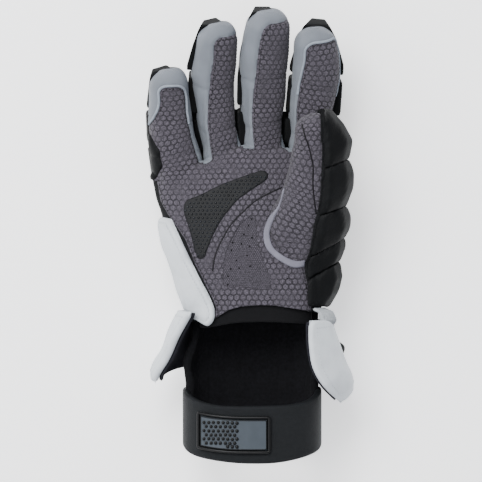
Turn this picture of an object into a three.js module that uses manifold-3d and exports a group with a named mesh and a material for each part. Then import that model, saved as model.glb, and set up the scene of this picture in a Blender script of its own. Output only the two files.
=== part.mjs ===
// A right-hand lacrosse glove that lies on its padded back with the palm up.
// Millimetres. X runs from the little finger to the thumb, Y from the cuff to the fingertips,
// and Z up out of the palm. While it is built, Y is 0 at the wrist edge of the palm and Z is 0
// under the pads. The finished group is then centred over its own footprint.
import * as THREE from 'three';
import { mergeVertices } from 'three/addons/utils/BufferGeometryUtils.js';
import Module from 'manifold-3d';

// Driving dimensions of the hand
const HAND_LENGTH = 118; // wrist edge to the crotch of the middle fingers
const HAND_WIDTH = 130; // across the knuckles, over the cloth
const HAND_DEPTH = 50; // palm to back at the wrist, over the cloth
const CLOTH = 2; // wall of the palm, the gussets and the backing
const SEAM_GAP = 0.3; // clearance between two sewn pieces

// Driving dimensions of the fingers and the thumb
const FINGER_REACH = 130; // longest finger from its root in the hand to its tip, seen from the palm
const FINGER_WIDTH = 34;
const FINGER_DEPTH = 29;
const FINGER_CURL = 34; // height that the longest finger's tip gains by its curl
const THUMB_WIDTH = 37;
const THUMB_DEPTH = 28;

// Driving dimensions of the foam
const PAD_FOAM = 20; // under the back of the hand
const FINGER_FOAM = 12; // behind each finger
const THUMB_FOAM = 15; // outside the thumb
const PAD_CHAMFER = 4;
const PAD_SPLIT = 3; // flex gap between two pads of the back
const THUMB_SPLIT = 1; // crease between two segments outside the thumb
const HEEL_FOAM = 4;
const GRIP_PRINT = 1;

// Driving dimensions of the cuff
const STRAP_WIDTH = 41;
const STRAP_FOAM = 5;
const STRAP_SPAN = 101; // across the wrist, over the strap
const STRAP_DEPTH = 66; // front to back of the wrist loop
const STRAP_DROP = 71; // wrist edge of the palm to the strap, at the front
const STRAP_TILT = 12; // how much higher the strap meets the liner than it hangs in front
const LINER_FOAM = 6;
const LINER_LENGTH = 92;
const COLLAR_LENGTH = 16;
const COLLAR_CLOTH = 2.5;
const WING_SHELL = 5.5;
const WING_LINING = 2.7;
const WING_FLARE = 14; // how far a wing's end stands off the wrist loop
const CUFF_FOAM = 14;
const CUFF_LENGTH = 58;
const GORE_PUFF = 9; // how far the fullest gather of the gore stands out
const PATCH_LENGTH = 52;
const PATCH_HEIGHT = 27;
const PATCH_PLATE = 1.6;
const PATCH_RIM = 2.4;

// Height of the split between the palm panel and the backing cloth
const SPLIT_HEIGHT = PAD_FOAM + 0.44 * HAND_DEPTH;
const FAR = 3 * HAND_WIDTH; // reach of a cutter that has to pass right through

// Sections of the hand. along: share of HAND_LENGTH. centre, width: shares of HAND_WIDTH.
// depth: share of HAND_DEPTH. bow: how far the section follows the line of the finger crotches.
const HAND_SECTIONS = [
  { along: 0, centre: 0.031, width: 0.74, depth: 1, bow: 0 },
  { along: 0.19, centre: 0.013, width: 0.835, depth: 0.98, bow: 0 },
  { along: 0.38, centre: -0.002, width: 0.92, depth: 0.93, bow: 0 },
  { along: 0.6, centre: -0.015, width: 0.955, depth: 0.84, bow: 0.2 },
  { along: 0.78, centre: -0.037, width: 0.985, depth: 0.76, bow: 0.6 },
  { along: 0.95, centre: -0.044, width: 1.005, depth: 0.68, bow: 1 },
];

// Line of the finger crotches. across: share of HAND_WIDTH. reach: share of HAND_LENGTH.
const CROTCH_LINE = [
  { across: -0.6, reach: 0.8 },
  { across: -0.4, reach: 0.86 },
  { across: -0.26, reach: 0.9 },
  { across: -0.06, reach: 1 },
  { across: 0.19, reach: 0.985 },
  { across: 0.5, reach: 0.93 },
];

// Fingers. rootX, midX, tipX: shares of HAND_WIDTH. rootY: share of HAND_LENGTH. reach: share of
// FINGER_REACH. root, mid, tip: widths as shares of FINGER_WIDTH. roll: degrees that the finger
// turns towards the thumb. cloth: degrees that its palm cloth is turned further than that.
const FINGERS = [
  { name: 'pinky', rootX: -0.37, midX: -0.437, tipX: -0.447, rootY: 0.66, reach: 0.735,
    root: 1, mid: 0.96, tip: 0.79, roll: 8, cloth: 16 },
  { name: 'ring', rootX: -0.15, midX: -0.207, tipX: -0.165, rootY: 0.746, reach: 0.915,
    root: 0.92, mid: 0.93, tip: 0.84, roll: 18, cloth: 16 },
  { name: 'middle', rootX: 0.07, midX: 0.06, tipX: 0.115, rootY: 0.763, reach: 0.97,
    root: 0.89, mid: 0.98, tip: 0.93, roll: 18, cloth: 16 },
  { name: 'index', rootX: 0.28, midX: 0.338, tipX: 0.378, rootY: 0.746, reach: 0.885,
    root: 0.95, mid: 0.99, tip: 0.86, roll: 6, cloth: 12 },
];

// Thumb. x: share of HAND_WIDTH. y: share of HAND_LENGTH. z: share of HAND_DEPTH above the pads.
// width, depth: shares of THUMB_WIDTH and THUMB_DEPTH.
const THUMB_STATIONS = [
  { x: 0.25, y: 0.27, z: 0.6, width: 0.72, depth: 0.9 },
  { x: 0.262, y: 0.37, z: 0.68, width: 1.08, depth: 1 },
  { x: 0.276, y: 0.5, z: 0.77, width: 1.25, depth: 1.03 },
  { x: 0.325, y: 0.69, z: 0.94, width: 1.03, depth: 1 },
  { x: 0.348, y: 0.95, z: 1.14, width: 0.8, depth: 0.93 },
  { x: 0.345, y: 1.09, z: 1.24, width: 0.71, depth: 0.88 },
];

// Outline of the palm cloth, seen from the palm. x: share of HAND_WIDTH. y: share of HAND_LENGTH.
const PALM_OUTLINE = [
  { x: -0.75, y: 0.64 },
  { x: -0.488, y: 0.598 },
  { x: -0.4, y: 0.479 },
  { x: -0.331, y: 0.332 },
  { x: -0.271, y: 0.19 },
  { x: -0.206, y: 0.046 },
  { x: -0.192, y: 0 },
  { x: -0.192, y: -0.1 },
  { x: 0.335, y: -0.1 },
  { x: 0.33, y: 0 },
  { x: 0.305, y: 0.23 },
  { x: 0.36, y: 0.32 },
  { x: 0.48, y: 0.42 },
  { x: 0.75, y: 0.46 },
];

// Outline of the white panel on the heel, seen from the palm, with the same columns.
const HEEL_OUTLINE = [
  { x: -0.48, y: 0.59 },
  { x: -0.75, y: 0.54 },
  { x: -0.75, y: 0 },
  { x: -0.361, y: -0.04 },
  { x: -0.284, y: -0.092 },
  { x: -0.234, y: -0.117 },
  { x: -0.199, y: -0.071 },
  { x: -0.199, y: -0.005 },
  { x: -0.213, y: 0.046 },
  { x: -0.278, y: 0.19 },
  { x: -0.338, y: 0.332 },
  { x: -0.407, y: 0.479 },
];

// Outline of the dark grip print on the palm, with the same columns.
const GRIP_OUTLINE = [
  { x: -0.351, y: 0.657 },
  { x: -0.266, y: 0.694 },
  { x: -0.168, y: 0.748 },
  { x: 0.026, y: 0.826 },
  { x: 0.063, y: 0.839 },
  { x: 0.102, y: 0.811 },
  { x: 0.073, y: 0.766 },
  { x: -0.067, y: 0.657 },
  { x: -0.15, y: 0.547 },
  { x: -0.206, y: 0.436 },
  { x: -0.257, y: 0.301 },
  { x: -0.284, y: 0.295 },
  { x: -0.302, y: 0.332 },
  { x: -0.34, y: 0.485 },
  { x: -0.37, y: 0.596 },
];

// Outline of the light band sewn round the foot of the thumb, with the same columns.
const BAND_OUTLINE = [
  { x: 0.153, y: 0.608 },
  { x: 0.106, y: 0.547 },
  { x: 0.078, y: 0.479 },
  { x: 0.074, y: 0.43 },
  { x: 0.093, y: 0.356 },
  { x: 0.139, y: 0.3 },
  { x: 0.184, y: 0.262 },
  { x: 0.245, y: 0.235 },
  { x: 0.28, y: 0.24 },
  { x: 0.28, y: 0.34 },
  { x: 0.2, y: 0.5 },
];

// Pads under the back of the hand. x0, x1: shares of HAND_WIDTH. y0, y1: shares of HAND_LENGTH.
// lift: gap under the pad as a share of PAD_FOAM. slope: rise of its sole towards the hand's side.
const BACK_PADS = [
  { name: 'knuckle_pad_pinky', x0: -0.52, x1: -0.31, y0: 0.57, y1: 0.82, lift: 0.12, slope: -0.3 },
  { name: 'knuckle_pad_ring', x0: -0.31, x1: -0.06, y0: 0.63, y1: 0.9, lift: 0.08, slope: 0 },
  { name: 'knuckle_pad_middle', x0: -0.06, x1: 0.19, y0: 0.65, y1: 0.94, lift: 0.08, slope: 0 },
  { name: 'knuckle_pad_index', x0: 0.19, x1: 0.45, y0: 0.63, y1: 0.9, lift: 0.1, slope: 0.25 },
  { name: 'upper_back_pad_pinky', x0: -0.5, x1: -0.2, y0: 0.33, y1: 0.57, lift: 0, slope: -0.28 },
  { name: 'upper_back_pad_middle', x0: -0.2, x1: 0.14, y0: 0.35, y1: 0.63, lift: 0, slope: 0 },
  { name: 'upper_back_pad_thumb', x0: 0.14, x1: 0.46, y0: 0.33, y1: 0.63, lift: 0, slope: 0.28 },
  { name: 'lower_back_pad_pinky', x0: -0.42, x1: -0.17, y0: 0.07, y1: 0.33, lift: 0, slope: -0.28 },
  { name: 'lower_back_pad_middle', x0: -0.17, x1: 0.15, y0: 0.05, y1: 0.35, lift: 0, slope: 0 },
  { name: 'lower_back_pad_thumb', x0: 0.15, x1: 0.46, y0: 0.07, y1: 0.33, lift: 0, slope: 0.28 },
];

// Foam rolls behind a finger, measured back from its tip. from, to: shares of the finger's length.
const FINGER_ROLLS = [
  { name: 'tip', from: 0.035, to: 0.3 },
  { name: 'mid', from: 0.34, to: 0.55 },
  { name: 'base', from: 0.59, to: 0.78 },
];

// Segments outside the thumb and the hand below it, from the wrist up. y0, y1: shares of
// HAND_LENGTH. low, mid, high: how far the foam stands out, as shares of THUMB_FOAM.
const THUMB_PADS = [
  { name: 'thumb_pad_wrist', y0: 0, y1: 0.19, low: 0.5, mid: 0.85, high: 0.85 },
  { name: 'thumb_pad_heel', y0: 0.19, y1: 0.35, low: 0.82, mid: 0.86, high: 0.84 },
  { name: 'thumb_pad_base', y0: 0.35, y1: 0.59, low: 0.88, mid: 0.94, high: 0.86 },
  { name: 'thumb_pad_mid', y0: 0.59, y1: 0.87, low: 0.83, mid: 0.96, high: 0.95 },
  { name: 'thumb_pad_tip', y0: 0.87, y1: 1.205, low: 0.94, mid: 0.92, high: 0.1 },
];

const wasm = await Module();
wasm.setup();

const radians = THREE.MathUtils.degToRad;

// Value of one column of a table at a place along another column, straight between its rows.
function tableAt(rows, key, column, place) {
  let low = rows[0];
  for (const row of rows) {
    if (row[key] >= place) {
      const span = row[key] - low[key];
      const share = span > 0 ? (place - low[key]) / span : 0;
      return low[column] + share * (row[column] - low[column]);
    }
    low = row;
  }
  return low[column];
}

// A closed geometry as a solid. A geometry wound the wrong way round is turned first.
function solidOf(geometry) {
  const bare = new THREE.BufferGeometry();
  bare.setAttribute('position', geometry.getAttribute('position'));
  if (geometry.index) bare.setIndex(geometry.index);
  const merged = mergeVertices(bare, 1e-4);
  const vertProperties = Float32Array.from(merged.getAttribute('position').array);
  const triVerts = Uint32Array.from(merged.index.array);
  const [a, b, c] = [new THREE.Vector3(), new THREE.Vector3(), new THREE.Vector3()];
  let volume = 0;
  for (let i = 0; i < triVerts.length; i += 3) {
    a.fromArray(vertProperties, 3 * triVerts[i]);
    b.fromArray(vertProperties, 3 * triVerts[i + 1]);
    c.fromArray(vertProperties, 3 * triVerts[i + 2]);
    volume += a.dot(b.cross(c));
  }
  if (volume < 0) {
    for (let i = 0; i < triVerts.length; i += 3) {
      [triVerts[i + 1], triVerts[i + 2]] = [triVerts[i + 2], triVerts[i + 1]];
    }
  }
  return new wasm.Manifold(new wasm.Mesh({ numProp: 3, vertProperties, triVerts }));
}

function joined(solids) {
  return solids.reduce((sum, solid) => sum.add(solid));
}

// The largest body of a solid, without the crumbs that a cut can leave beside it.
function mainBody(solid) {
  const bodies = solid.decompose();
  return bodies.reduce((best, body) => (body.volume() > best.volume() ? body : best));
}

// A solid skinned over closed rings of equal count, with a fan over each end.
function loft(rings) {
  const count = rings[0].length;
  const points = rings.flat();
  const index = [];
  for (let r = 0; r + 1 < rings.length; r += 1) {
    for (let i = 0; i < count; i += 1) {
      const j = (i + 1) % count;
      const [a, b] = [r * count + i, r * count + j];
      index.push(a, b, b + count, a, b + count, a + count);
    }
  }
  const ends = [
    { start: 0, flip: true },
    { start: (rings.length - 1) * count, flip: false },
  ];
  for (const { start, flip } of ends) {
    const middle = new THREE.Vector3();
    for (let i = 0; i < count; i += 1) middle.addScaledVector(points[start + i], 1 / count);
    points.push(middle);
    for (let i = 0; i < count; i += 1) {
      const [a, b] = [start + i, start + ((i + 1) % count)];
      index.push(...(flip ? [b, a, points.length - 1] : [a, b, points.length - 1]));
    }
  }
  const geometry = new THREE.BufferGeometry().setFromPoints(points);
  geometry.setIndex(index);
  return solidOf(geometry);
}

// A wall between an outer and an inner grid of points that have the same rows and columns.
function wall(outer, inner) {
  const [rows, columns] = [outer.length, outer[0].length];
  const half = rows * columns;
  const at = (side, r, c) => side * half + r * columns + c;
  const index = [];
  const quad = (a, b, c, d) => index.push(a, b, c, a, c, d);
  for (let r = 0; r + 1 < rows; r += 1) {
    for (let c = 0; c + 1 < columns; c += 1) {
      quad(at(0, r, c), at(0, r, c + 1), at(0, r + 1, c + 1), at(0, r + 1, c));
      quad(at(1, r, c), at(1, r + 1, c), at(1, r + 1, c + 1), at(1, r, c + 1));
    }
  }
  for (let c = 0; c + 1 < columns; c += 1) {
    quad(at(0, 0, c), at(1, 0, c), at(1, 0, c + 1), at(0, 0, c + 1));
    quad(at(0, rows - 1, c), at(0, rows - 1, c + 1), at(1, rows - 1, c + 1), at(1, rows - 1, c));
  }
  for (let r = 0; r + 1 < rows; r += 1) {
    quad(at(0, r, 0), at(0, r + 1, 0), at(1, r + 1, 0), at(1, r, 0));
    const last = columns - 1;
    quad(at(0, r, last), at(1, r, last), at(1, r + 1, last), at(0, r + 1, last));
  }
  const geometry = new THREE.BufferGeometry().setFromPoints([...outer.flat(), ...inner.flat()]);
  geometry.setIndex(index);
  return solidOf(geometry);
}

// An upright prism over an outline of THREE.Vector2 points.
function prism(outline, low, high) {
  const shape = new THREE.Shape(outline);
  const geometry = new THREE.ExtrudeGeometry(shape, { depth: high - low, bevelEnabled: false });
  return solidOf(geometry.translate(0, 0, low));
}

// Point on a rounded oval in the XZ plane. The angle is 0 at the top and grows towards +X.
const OVAL_POWER = 2.5;
function ovalOffset(halfWidth, halfDepth, angle) {
  const bend = (value) => Math.sign(value) * Math.abs(value) ** (2 / OVAL_POWER);
  return { x: halfWidth * bend(Math.sin(angle)), z: halfDepth * bend(Math.cos(angle)) };
}

function spread(from, to, steps) {
  return Array.from({ length: steps + 1 }, (_, i) => from + ((to - from) * i) / steps);
}

const crotchAt = (x) => HAND_LENGTH * tableAt(CROTCH_LINE, 'across', 'reach', x / HAND_WIDTH);

// The hand

const HAND_SIDES = 18;
const KNUCKLE_ROUND = 5; // how far the hand rounds off past its last section
const KNUCKLE_RINGS = [
  { out: 0.6, depth: 0.86 },
  { out: 1, depth: 0.55 },
];

function handSection(along) {
  const value = (column) => tableAt(HAND_SECTIONS, 'along', column, along);
  const depth = HAND_DEPTH * value('depth');
  return {
    x: HAND_WIDTH * value('centre'),
    z: PAD_FOAM + depth / 2,
    halfWidth: (HAND_WIDTH * value('width')) / 2,
    halfDepth: depth / 2,
    bow: value('bow'),
  };
}

// Ring of the hand at a share of its length, with the cloth moved out by grow.
function handRing(along, grow, shift = 0, flatten = 1) {
  const section = handSection(along);
  return spread(0, 2 * Math.PI, HAND_SIDES).slice(0, -1).map((angle) => {
    const halfDepth = (section.halfDepth + grow) * flatten;
    const offset = ovalOffset(section.halfWidth + grow, halfDepth, angle);
    const x = section.x + offset.x;
    const y = along * HAND_LENGTH + shift - section.bow * (HAND_LENGTH - crotchAt(x));
    return new THREE.Vector3(x, y, section.z + offset.z);
  });
}

function handBody(grow, open = 0) {
  const last = HAND_SECTIONS[HAND_SECTIONS.length - 1].along;
  const rings = HAND_SECTIONS.map(({ along }) => handRing(along, grow, 0));
  if (open > 0) rings.unshift(handRing(0, grow, -open));
  for (const { out, depth } of KNUCKLE_RINGS) {
    rings.push(handRing(last, grow, (KNUCKLE_ROUND + grow) * out, depth));
  }
  return loft(rings);
}

// A limb is a rounded tube along a curve: a finger or the thumb.

const LIMB_SIDES = 10;
const DOME_ANGLES = [34, 66].map(radians);

function limbFrame(limb, share, turn = 0) {
  const clamped = THREE.MathUtils.clamp(share, 0, 1);
  const centre = limb.curve.getPoint(clamped);
  const ahead = limb.curve.getTangent(clamped);
  centre.addScaledVector(ahead, (share - clamped) * limb.length);
  const front = new THREE.Vector3(0, 0, 1).addScaledVector(ahead, -ahead.z).normalize();
  const side = new THREE.Vector3().crossVectors(ahead, front);
  front.applyAxisAngle(ahead, radians(limb.roll + turn));
  side.applyAxisAngle(ahead, radians(limb.roll + turn));
  return { centre, ahead, front, side, ...limb.half(clamped) };
}

// Point of a limb at a distance to its side and in front of its centreline.
function limbPoint(frame, aside, forward) {
  return frame.centre.clone()
    .addScaledVector(frame.side, aside)
    .addScaledVector(frame.front, forward);
}

function limbRing(limb, share, grow, scale = 1, push = 0) {
  const frame = limbFrame(limb, share);
  frame.centre.addScaledVector(frame.ahead, push);
  return spread(0, 2 * Math.PI, LIMB_SIDES).slice(0, -1).map((angle) => {
    const halfWidth = (frame.halfWidth + grow) * scale;
    const offset = ovalOffset(halfWidth, (frame.halfDepth + grow) * scale, angle);
    return limbPoint(frame, offset.x, offset.z);
  });
}

function limbBody(limb, grow) {
  const domeStart = 1 - limb.dome / limb.length;
  const rings = spread(0, domeStart, limb.rings).map((share) => limbRing(limb, share, grow));
  for (const angle of DOME_ANGLES) {
    const push = (limb.dome + grow) * Math.sin(angle);
    rings.push(limbRing(limb, domeStart, grow, Math.cos(angle), push));
  }
  return loft(rings);
}

// Fingers

const FINGER_DOME = 0.42; // length of the rounded fingertip as a share of FINGER_WIDTH
const FINGER_ROOT_DEPTH = 0.34; // height of a finger's root as a share of HAND_DEPTH
const FINGER_RINGS = 3;

function quadratic(start, middle, end, share) {
  const rest = 1 - share;
  return start * rest * (1 - 2 * share) + 4 * middle * share * rest + end * share * (2 * share - 1);
}

function makeFinger(row) {
  const reach = row.reach * FINGER_REACH;
  const points = spread(0, 1, 4).map((share) => new THREE.Vector3(
    HAND_WIDTH * quadratic(row.rootX, row.midX, row.tipX, share),
    HAND_LENGTH * row.rootY + reach * share,
    PAD_FOAM + FINGER_ROOT_DEPTH * HAND_DEPTH + FINGER_CURL * row.reach * share * share,
  ));
  const curve = new THREE.CatmullRomCurve3(points);
  const width = (share) => FINGER_WIDTH * quadratic(row.root, row.mid, row.tip, share);
  return {
    name: row.name,
    curve,
    length: curve.getLength(),
    roll: row.roll,
    cloth: row.cloth,
    dome: FINGER_DOME * FINGER_WIDTH,
    rings: FINGER_RINGS,
    half: (share) => ({
      halfWidth: width(share) / 2,
      halfDepth: (FINGER_DEPTH / 2) * (width(share) / FINGER_WIDTH),
    }),
  };
}

const fingers = FINGERS.map(makeFinger);

// Where a finger's left or right edge lies at a height on the page, seen from the palm.
function fingerEdge(finger, y, side) {
  const points = spread(0, 1, 24).map((share) => {
    const frame = limbFrame(finger, share);
    return { y: frame.centre.y, x: frame.centre.x + side * frame.halfWidth };
  });
  return tableAt(points, 'y', 'x', y);
}

const CROTCH_LAP = 5; // how far a finger's cloth runs into the hand past the crotches
const CROTCH_SEAM = 2.5; // how far the hand's cloth stops short of the crotches

// Line between two neighbouring fingers, from below their crotch to past their tips.
const ZONE_STEPS = 5;
function lineBetween(left, right, inset) {
  const mid = (y) => (fingerEdge(left, y, 1) + fingerEdge(right, y, -1)) / 2 + inset;
  const start = crotchAt(mid(HAND_LENGTH));
  const end = HAND_LENGTH + FINGER_REACH;
  return spread(start - CROTCH_LAP, end, ZONE_STEPS).map((y) => new THREE.Vector2(mid(y), y));
}

// The block of space that belongs to one finger, drawn in by inset from its neighbours' blocks.
function fingerZone(index, inset, floor) {
  const finger = fingers[index];
  const before = fingers[index - 1];
  const after = fingers[index + 1];
  const outside = (x) => [
    new THREE.Vector2(x, HAND_LENGTH / 2),
    new THREE.Vector2(x, HAND_LENGTH + FINGER_REACH),
  ];
  const left = before ? lineBetween(before, finger, inset) : outside(-FAR);
  const right = after ? lineBetween(finger, after, -inset) : outside(FAR);
  const block = prism([...left, ...right.reverse()], -FAR, FAR);
  return block.subtract(handBlock(floor, -FAR, FAR));
}

// Everything below the line of the finger crotches, less a drop.
function handBlock(drop, low, high) {
  const top = CROTCH_LINE.map(({ across, reach }) => (
    new THREE.Vector2(across * HAND_WIDTH, reach * HAND_LENGTH - drop)
  ));
  top[0].x = -FAR;
  top[top.length - 1].x = FAR;
  const outline = [new THREE.Vector2(-FAR, -FAR), ...top, new THREE.Vector2(FAR, -FAR)];
  return prism(outline, low, high);
}

// A wedge that fans out from a limb's centreline, to the front or to the back.
const WEDGE_REACH = 1.6; // share of FINGER_WIDTH
const WEDGE_RINGS = 2;
function limbWedge(limb, halfAngle, direction, from, to, turn, extra = 0) {
  const reach = WEDGE_REACH * FINGER_WIDTH;
  const shares = spread(from, to, WEDGE_RINGS);
  const rings = shares.map((share, i) => {
    const narrow = direction > 0 && i === shares.length - 1 ? FRONT_END_NARROW : 1;
    const angle = radians(halfAngle) * narrow + extra / (FINGER_WIDTH / 2);
    const frame = limbFrame(limb, share, turn);
    const [out, up] = [reach * Math.sin(angle), reach * Math.cos(angle) * direction];
    return [
      limbPoint(frame, 0, -extra * direction),
      limbPoint(frame, -out, up),
      limbPoint(frame, 0, reach * 1.2 * direction),
      limbPoint(frame, out, up),
    ];
  });
  return loft(rings);
}

const FRONT_ANGLE = 52; // half the arc of palm cloth round a finger
const FRONT_END = 9; // where the palm cloth stops short of the fingertip
const FRONT_END_NARROW = 0.92;
const BACK_ANGLE = 66; // half the arc of backing cloth round a finger

function frontWedge(finger, extra = 0) {
  const end = 1 - (FRONT_END - extra) / finger.length;
  return limbWedge(finger, FRONT_ANGLE, 1, -0.1, end, finger.cloth, extra);
}

function backWedge(finger, extra = 0) {
  return limbWedge(finger, BACK_ANGLE, -1, -0.1, 1.2, 0, extra);
}

// The thumb

const THUMB_DOME = 0.33; // share of THUMB_WIDTH
const THUMB_ROLL = 0;

function makeThumb() {
  const points = THUMB_STATIONS.map(({ x, y, z }) => (
    new THREE.Vector3(x * HAND_WIDTH, y * HAND_LENGTH, PAD_FOAM + z * HAND_DEPTH)
  ));
  const last = points[points.length - 1];
  const before = points[points.length - 2];
  const dome = THUMB_DOME * THUMB_WIDTH;
  points.push(last.clone().addScaledVector(last.clone().sub(before).normalize(), dome));
  const rows = [...THUMB_STATIONS, THUMB_STATIONS[THUMB_STATIONS.length - 1]];
  const curve = new THREE.CatmullRomCurve3(points);
  const column = (name, share) => {
    const place = share * (rows.length - 1);
    const low = Math.min(Math.floor(place), rows.length - 2);
    return rows[low][name] + (place - low) * (rows[low + 1][name] - rows[low][name]);
  };
  return {
    name: 'thumb',
    curve,
    length: curve.getLength(),
    roll: THUMB_ROLL,
    dome,
    rings: 5,
    half: (share) => ({
      halfWidth: (THUMB_WIDTH / 2) * column('width', share),
      halfDepth: (THUMB_DEPTH / 2) * column('depth', share),
    }),
  };
}

const thumb = makeThumb();

// Bodies of the whole glove's cloth at an offset from its outside

function gloveBody(grow, open = 0) {
  return joined([handBody(grow, open), ...fingers.map((finger) => limbBody(finger, grow))]);
}

const OPEN_PAST = 20; // how far a hollow runs out past the wrist edge
const gloveOutside = gloveBody(0);
const gloveWall = gloveOutside.subtract(gloveBody(-CLOTH, OPEN_PAST));
const thumbOutside = limbBody(thumb, 0);
const thumbWall = thumbOutside.subtract(limbBody(thumb, -CLOTH));
const clearOfGlove = gloveBody(SEAM_GAP, OPEN_PAST);
const clearOfThumb = limbBody(thumb, SEAM_GAP);
const clearOfAll = clearOfGlove.add(clearOfThumb);

function outlineOf(rows) {
  return rows.map(({ x, y }) => new THREE.Vector2(x * HAND_WIDTH, y * HAND_LENGTH));
}

// The palm's own share of the hand block, seen from the palm and above a height.
function palmBlock(margin) {
  const outline = outlineOf(PALM_OUTLINE);
  const [left, right] = [outline[0].y, outline[outline.length - 1].y];
  outline.push(new THREE.Vector2(FAR, right), new THREE.Vector2(FAR, FAR));
  outline.push(new THREE.Vector2(-FAR, FAR), new THREE.Vector2(-FAR, left));
  const block = prism(outline, SPLIT_HEIGHT - margin, FAR);
  if (margin === 0) return block;
  const shifts = [[margin, 0], [-margin, 0]];
  return joined([block, ...shifts.map(([x, y]) => block.translate(x, y, 0))]);
}

function makePalm() {
  const fronts = fingers.map((finger, i) => (
    frontWedge(finger).intersect(fingerZone(i, SEAM_GAP / 2, CROTCH_LAP))
  ));
  const hand = palmBlock(0).intersect(handBlock(CROTCH_SEAM, -FAR, FAR));
  return gloveWall.intersect(joined([hand, ...fronts])).subtract(clearOfThumb);
}

function makeHandBack() {
  const palmFronts = fingers.map((finger) => frontWedge(finger, SEAM_GAP));
  const palmSide = joined([palmBlock(SEAM_GAP), ...palmFronts]);
  const hand = handBlock(CROTCH_SEAM, -FAR, FAR).subtract(palmSide);
  return gloveWall.intersect(hand).subtract(clearOfThumb);
}

function makeFingerBack(index) {
  const zone = fingerZone(index, SEAM_GAP / 2, CROTCH_SEAM - SEAM_GAP);
  return mainBody(gloveWall.intersect(backWedge(fingers[index])).intersect(zone));
}

function makeGusset(index) {
  const finger = fingers[index];
  const sides = gloveWall
    .intersect(fingerZone(index, SEAM_GAP / 2, CROTCH_SEAM - SEAM_GAP))
    .subtract(frontWedge(finger, SEAM_GAP))
    .subtract(backWedge(finger, SEAM_GAP));
  return mainBody(sides);
}

// The thumb's cloth: everything that stands clear of the hand, parted down its outside.
const THUMB_SEAM = 0.45; // share of the half width where the palm cloth meets the pads

function thumbHalfSpace(margin) {
  const reach = WEDGE_REACH * FINGER_WIDTH;
  const rings = spread(-0.2, 1.3, thumb.rings).map((share) => {
    const frame = limbFrame(thumb, share);
    const seam = THUMB_SEAM * frame.halfWidth + margin;
    return [
      limbPoint(frame, seam, reach),
      limbPoint(frame, reach, reach),
      limbPoint(frame, reach, -reach),
      limbPoint(frame, seam, -reach),
    ];
  });
  return loft(rings);
}

const thumbFree = thumbWall.subtract(clearOfGlove);
const makeThumbPalm = () => thumbFree.subtract(thumbHalfSpace(0));
const makeThumbBack = () => thumbFree.intersect(thumbHalfSpace(SEAM_GAP));

// Patches that lie on the palm side of the hand
function skinPatch(outlineRows, thickness, low) {
  const skin = handBody(SEAM_GAP + thickness, OPEN_PAST).subtract(clearOfGlove);
  return skin.intersect(prism(outlineOf(outlineRows), low, FAR)).subtract(clearOfThumb);
}

const HEEL_WRAP = 0.28; // how far the heel panel wraps down the side, as a share of HAND_DEPTH
const WRIST_TRIM = 14; // how far the heel panel hangs past the wrist edge

// Space of the heel panel, or that space with a margin all round.
function heelSpace(margin) {
  const low = SPLIT_HEIGHT - HEEL_WRAP * HAND_DEPTH - margin;
  const outline = prism(outlineOf(HEEL_OUTLINE), low, FAR);
  const shifts = [[margin, 0], [-margin, 0], [0, margin], [0, -margin]];
  const outlines = margin > 0 ? shifts.map(([x, y]) => outline.translate(x, y, 0)) : [outline];
  return handBody(SEAM_GAP + HEEL_FOAM + margin, WRIST_TRIM + margin).intersect(joined(outlines));
}

const clearOfHeel = heelSpace(SEAM_GAP);
const makeHeelPanel = () => heelSpace(0).subtract(clearOfGlove);

const makeGripPatch = () => skinPatch(GRIP_OUTLINE, GRIP_PRINT, SPLIT_HEIGHT);
const makeThumbBand = () => skinPatch(BAND_OUTLINE, GRIP_PRINT, SPLIT_HEIGHT);

// Pads under the back of the hand

const PAD_CORNER = 5;

// A rectangle with cut corners.
function cutRectangle(x0, x1, y0, y1, corner) {
  return [
    [x0 + corner, y0], [x1 - corner, y0], [x1, y0 + corner], [x1, y1 - corner],
    [x1 - corner, y1], [x0 + corner, y1], [x0, y1 - corner], [x0, y0 + corner],
  ].map(([x, y]) => new THREE.Vector2(x, y));
}

function makeBackPad(row) {
  const gap = PAD_SPLIT / 2 + PAD_CHAMFER;
  const [x0, x1] = [row.x0 * HAND_WIDTH + gap, row.x1 * HAND_WIDTH - gap];
  const [y0, y1] = [row.y0 * HAND_LENGTH + gap, row.y1 * HAND_LENGTH - gap];
  const shape = new THREE.Shape(cutRectangle(x0, x1, y0, y1, PAD_CORNER));
  const low = row.lift * PAD_FOAM;
  const geometry = new THREE.ExtrudeGeometry(shape, {
    depth: SPLIT_HEIGHT - low - 2 * PAD_CHAMFER,
    bevelThickness: PAD_CHAMFER,
    bevelSize: PAD_CHAMFER,
    bevelSegments: 1,
  });
  geometry.translate(0, 0, low + PAD_CHAMFER);
  const pivot = row.slope < 0 ? x1 : x0;
  geometry.translate(-pivot, 0, 0);
  geometry.applyMatrix4(new THREE.Matrix4().makeShear(0, row.slope, 0, 0, 0, 0));
  geometry.translate(pivot, 0, 0);
  const below = prism(cutRectangle(-FAR, FAR, -FAR, FAR, 1), -FAR, SPLIT_HEIGHT);
  return solidOf(geometry).intersect(below).subtract(clearOfAll).subtract(clearOfHeel);
}

// Foam rolls behind the fingers

const ROLL_LAP = 1; // how far a roll stands out past the finger's side
const ROLL_CROWN = 0.6; // width of a roll's flat back as a share of the finger's width
const ROLL_END = 0.62; // thickness of a roll at its ends, share of FINGER_FOAM
const ROLL_NOSE = 0.32; // the same at the fingertip
const ROLL_SHOULDER = 0.035; // length over which a roll's end rounds off, share of the finger
const ROLL_TAPER = 0.8; // how far a roll narrows over the fingertip

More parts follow.
